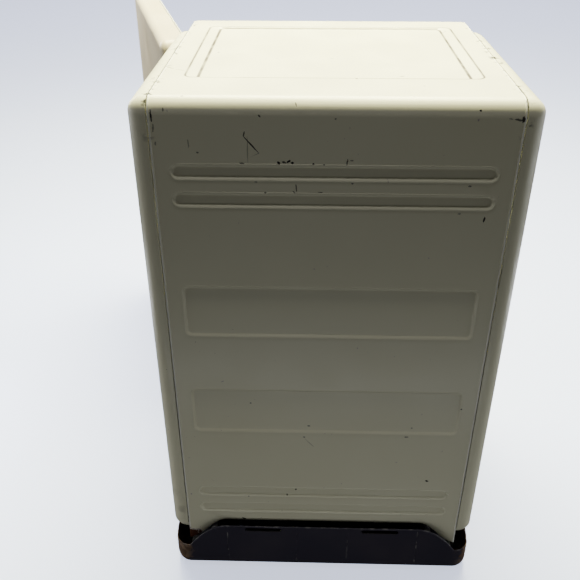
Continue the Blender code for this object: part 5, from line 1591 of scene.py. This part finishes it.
def make_pulleys(looks):
    low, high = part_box("large_pulley")
    centre = (low.x / 2 + high.x / 2, low.y / 2 + high.y / 2)
    radius = (high.x - low.x) / 2
    place = Matrix.Translation((*centre, 0.0))
    z0, z1 = low.z, high.z
    rim = [(radius - 0.004, z0), (radius, z0), (radius, z0 + 0.001)]
    for i in range(4):
        z = lerp(z0 + 0.0012, z1 - 0.0012, (i + 0.5) / 4)
        rim += [(radius - 0.0006, z - 0.0006), (radius - 0.0012, z), (radius - 0.0006, z + 0.0006)]
    rim += [(radius, z1 - 0.001), (radius, z1), (radius - 0.004, z1)]
    web = [(radius - 0.005, z1 - 0.003), (0.014, z1 - 0.003), (0.0125, z1), (0.0063, z1), (0.0063, z0),
           (0.0125, z0)]
    web += [(0.014, z0 + 0.003), (radius - 0.005, z0 + 0.003)]
    holes = []
    for i in range(6):
        turn = radians(60 * i)
        spot = (0.022 * cos(turn), 0.022 * sin(turn))
        holes.append(Shape().turned([(0.0045, z0 - 0.01), (0.0045, z1 + 0.01)], centre=spot, sides=24))
    shape = Shape().turned(rim + web, closed=True, sides=72)
    piece("jackshaft_pulley", shape, looks["aluminium"], "jackshaft", ["large_pulley"], place=place,
          cutters=holes, sharp=35)
    low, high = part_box("jackshaft")
    rod = [(0.0052, low.z), (0.006, low.z + 0.0008), (0.006, high.z - 0.0008), (0.0052, high.z)]
    piece("jackshaft_rod", Shape().turned(rod, sides=36), looks["zinc"], "jackshaft", ["jackshaft"],
          place=place)
    make_sprocket(looks, "drive_sprocket", "jackshaft", place, 10, 0.0062)
    low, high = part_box("motor_pulley")
    radius = (high.x - low.x) / 2
    rows = [(0.005, low.z), (0.006, low.z + 0.0008), (0.006, z0), (radius, z0), (radius, z0 + 0.001)]
    for i in range(4):
        z = lerp(z0 + 0.0012, z1 - 0.0012, (i + 0.5) / 4)
        rows += [(radius - 0.0006, z - 0.0006), (radius - 0.0012, z), (radius - 0.0006, z + 0.0006)]
    rows += [(radius, z1 - 0.001), (radius, z1), (0.0085, z1), (0.008, z1 + 0.001), (0.006, z1 + 0.001),
             (0.006, high.z - 0.0006), (0.0052, high.z)]
    shape = Shape().turned(rows)
    place = Matrix.Translation((low.x / 2 + high.x / 2, low.y / 2 + high.y / 2, 0.0))
    piece("motor_pulley_wheel", shape, looks["aluminium"], "motor_pulley", ["motor_pulley"], place=place)


def make_motor(looks):
    """A vertical motor: foot plate, laminated stack between two end bells, and through bolts."""
    low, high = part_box("motor")
    shaft_low, shaft_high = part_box("motor_pulley")
    centre = (shaft_low.x / 2 + shaft_high.x / 2, shaft_low.y / 2 + shaft_high.y / 2)
    lower = [(0.04, 0.018), (0.0435, 0.019), (0.045, 0.0215), (0.045, 0.029), (0.044, 0.03)]
    upper = [(0.044, 0.056), (0.045, 0.057), (0.045, 0.062), (0.044, 0.065), (0.04, 0.069), (0.034, 0.0698),
             (0.015, 0.0698), (0.013, high.z)]
    bells = Shape().turned(lower, centre=centre, sides=64).turned(upper, centre=centre, sides=64)
    foot = rounded_rectangle((centre[0], (low.y + high.y) / 2),
                             ((high.x - low.x) / 2, (high.y - low.y) / 2 - 0.001), 0.008, 6)
    bells.prism(foot, low.z, low.z + 0.004)
    piece("motor_housing", bells, looks["motor"], "cabinet", ["motor"], bevel=0.0004, segments=2)
    stack = []
    for i in range(26):
        z = 0.0301 + 0.001 * i
        stack += [(0.0436, z), (0.044, z + 0.0002), (0.044, z + 0.0008), (0.0436, z + 0.001)]
    piece("motor_laminations", Shape().turned(stack[:-1], centre=centre, sides=64), looks["iron"], "cabinet")
    around = [(centre[0] + 0.036 * cos(t), centre[1] + 0.036 * sin(t), 0.0688)
              for t in (0.8, 2.37, 3.94, 5.51)]
    bolts = hex_bolts(Shape(), around, (0, 0, 1), 0.0028)
    feet = [(centre[0] + x, low.y + 0.009 + y, low.z + 0.004) for x in (-0.048, 0.048) for y in (0.0, 0.062)]
    piece("motor_bolts", hex_bolts(bolts, feet, (0, 0, 1), 0.0035), looks["zinc"], "cabinet")


def make_capacitor(looks):
    low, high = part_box("motor_capacitor")
    centre = ((low.x + high.x) / 2, (low.y + high.y) / 2)
    radius = (high.x - low.x) / 2
    can = [(radius - 0.002, low.z), (radius, low.z + 0.002), (radius, high.z - 0.005),
           (radius + 0.0006, high.z - 0.004), (radius + 0.0006, high.z - 0.003)]
    can += [(radius - 0.001, high.z - 0.002), (radius - 0.0018, high.z - 0.0028), (0.004, high.z - 0.0028)]
    piece("capacitor_can", Shape().turned(can, centre=centre), looks["plastic"], "cabinet",
          ["motor_capacitor"])
    tabs = Shape()
    for x in (-0.007, 0.007):
        tabs.block((centre[0] + x - 0.0004, centre[1] - 0.003, high.z - 0.003),
                   (centre[0] + x + 0.0004, centre[1] + 0.003, high.z))
    band = [(radius, 0.03), (radius + 0.0008, 0.03), (radius + 0.0008, 0.042), (radius, 0.042)]
    tabs.turned(band, centre=centre, closed=True)
    piece("capacitor_clamp", tabs, looks["zinc"], "cabinet", bevel=0.0002, segments=2)


# Nodes that keep their CAD shape --------------------------------------------------------------

KEPT = {
    "base_frame": "galvanised", "chamber_floor": "galvanised", "door_switch": "plastic",
    "catch_plate": "zinc", "door_magnet": "iron",
}


def finish_kept_nodes(looks):
    for node, look in KEPT.items():
        for slot in frame["nodes"][node].material_slots:
            slot.material = looks[look][0]


def main():
    make_camera()
    make_lights()
    make_floor(floor_paint())
    looks = make_looks()
    make_wrap(looks)
    make_side_shells(looks)
    make_base(looks)
    make_front_frame(looks)
    make_controls(looks)
    make_door(looks)
    make_hinges(looks)
    make_container(looks)
    make_liners(looks)
    make_structure(looks)
    for name, side in SIDES:
        make_screw(looks, name, side)
    make_chain(looks)
    make_belt(looks)
    make_pulleys(looks)
    make_motor(looks)
    make_capacitor(looks)
    finish_kept_nodes(looks)


main()
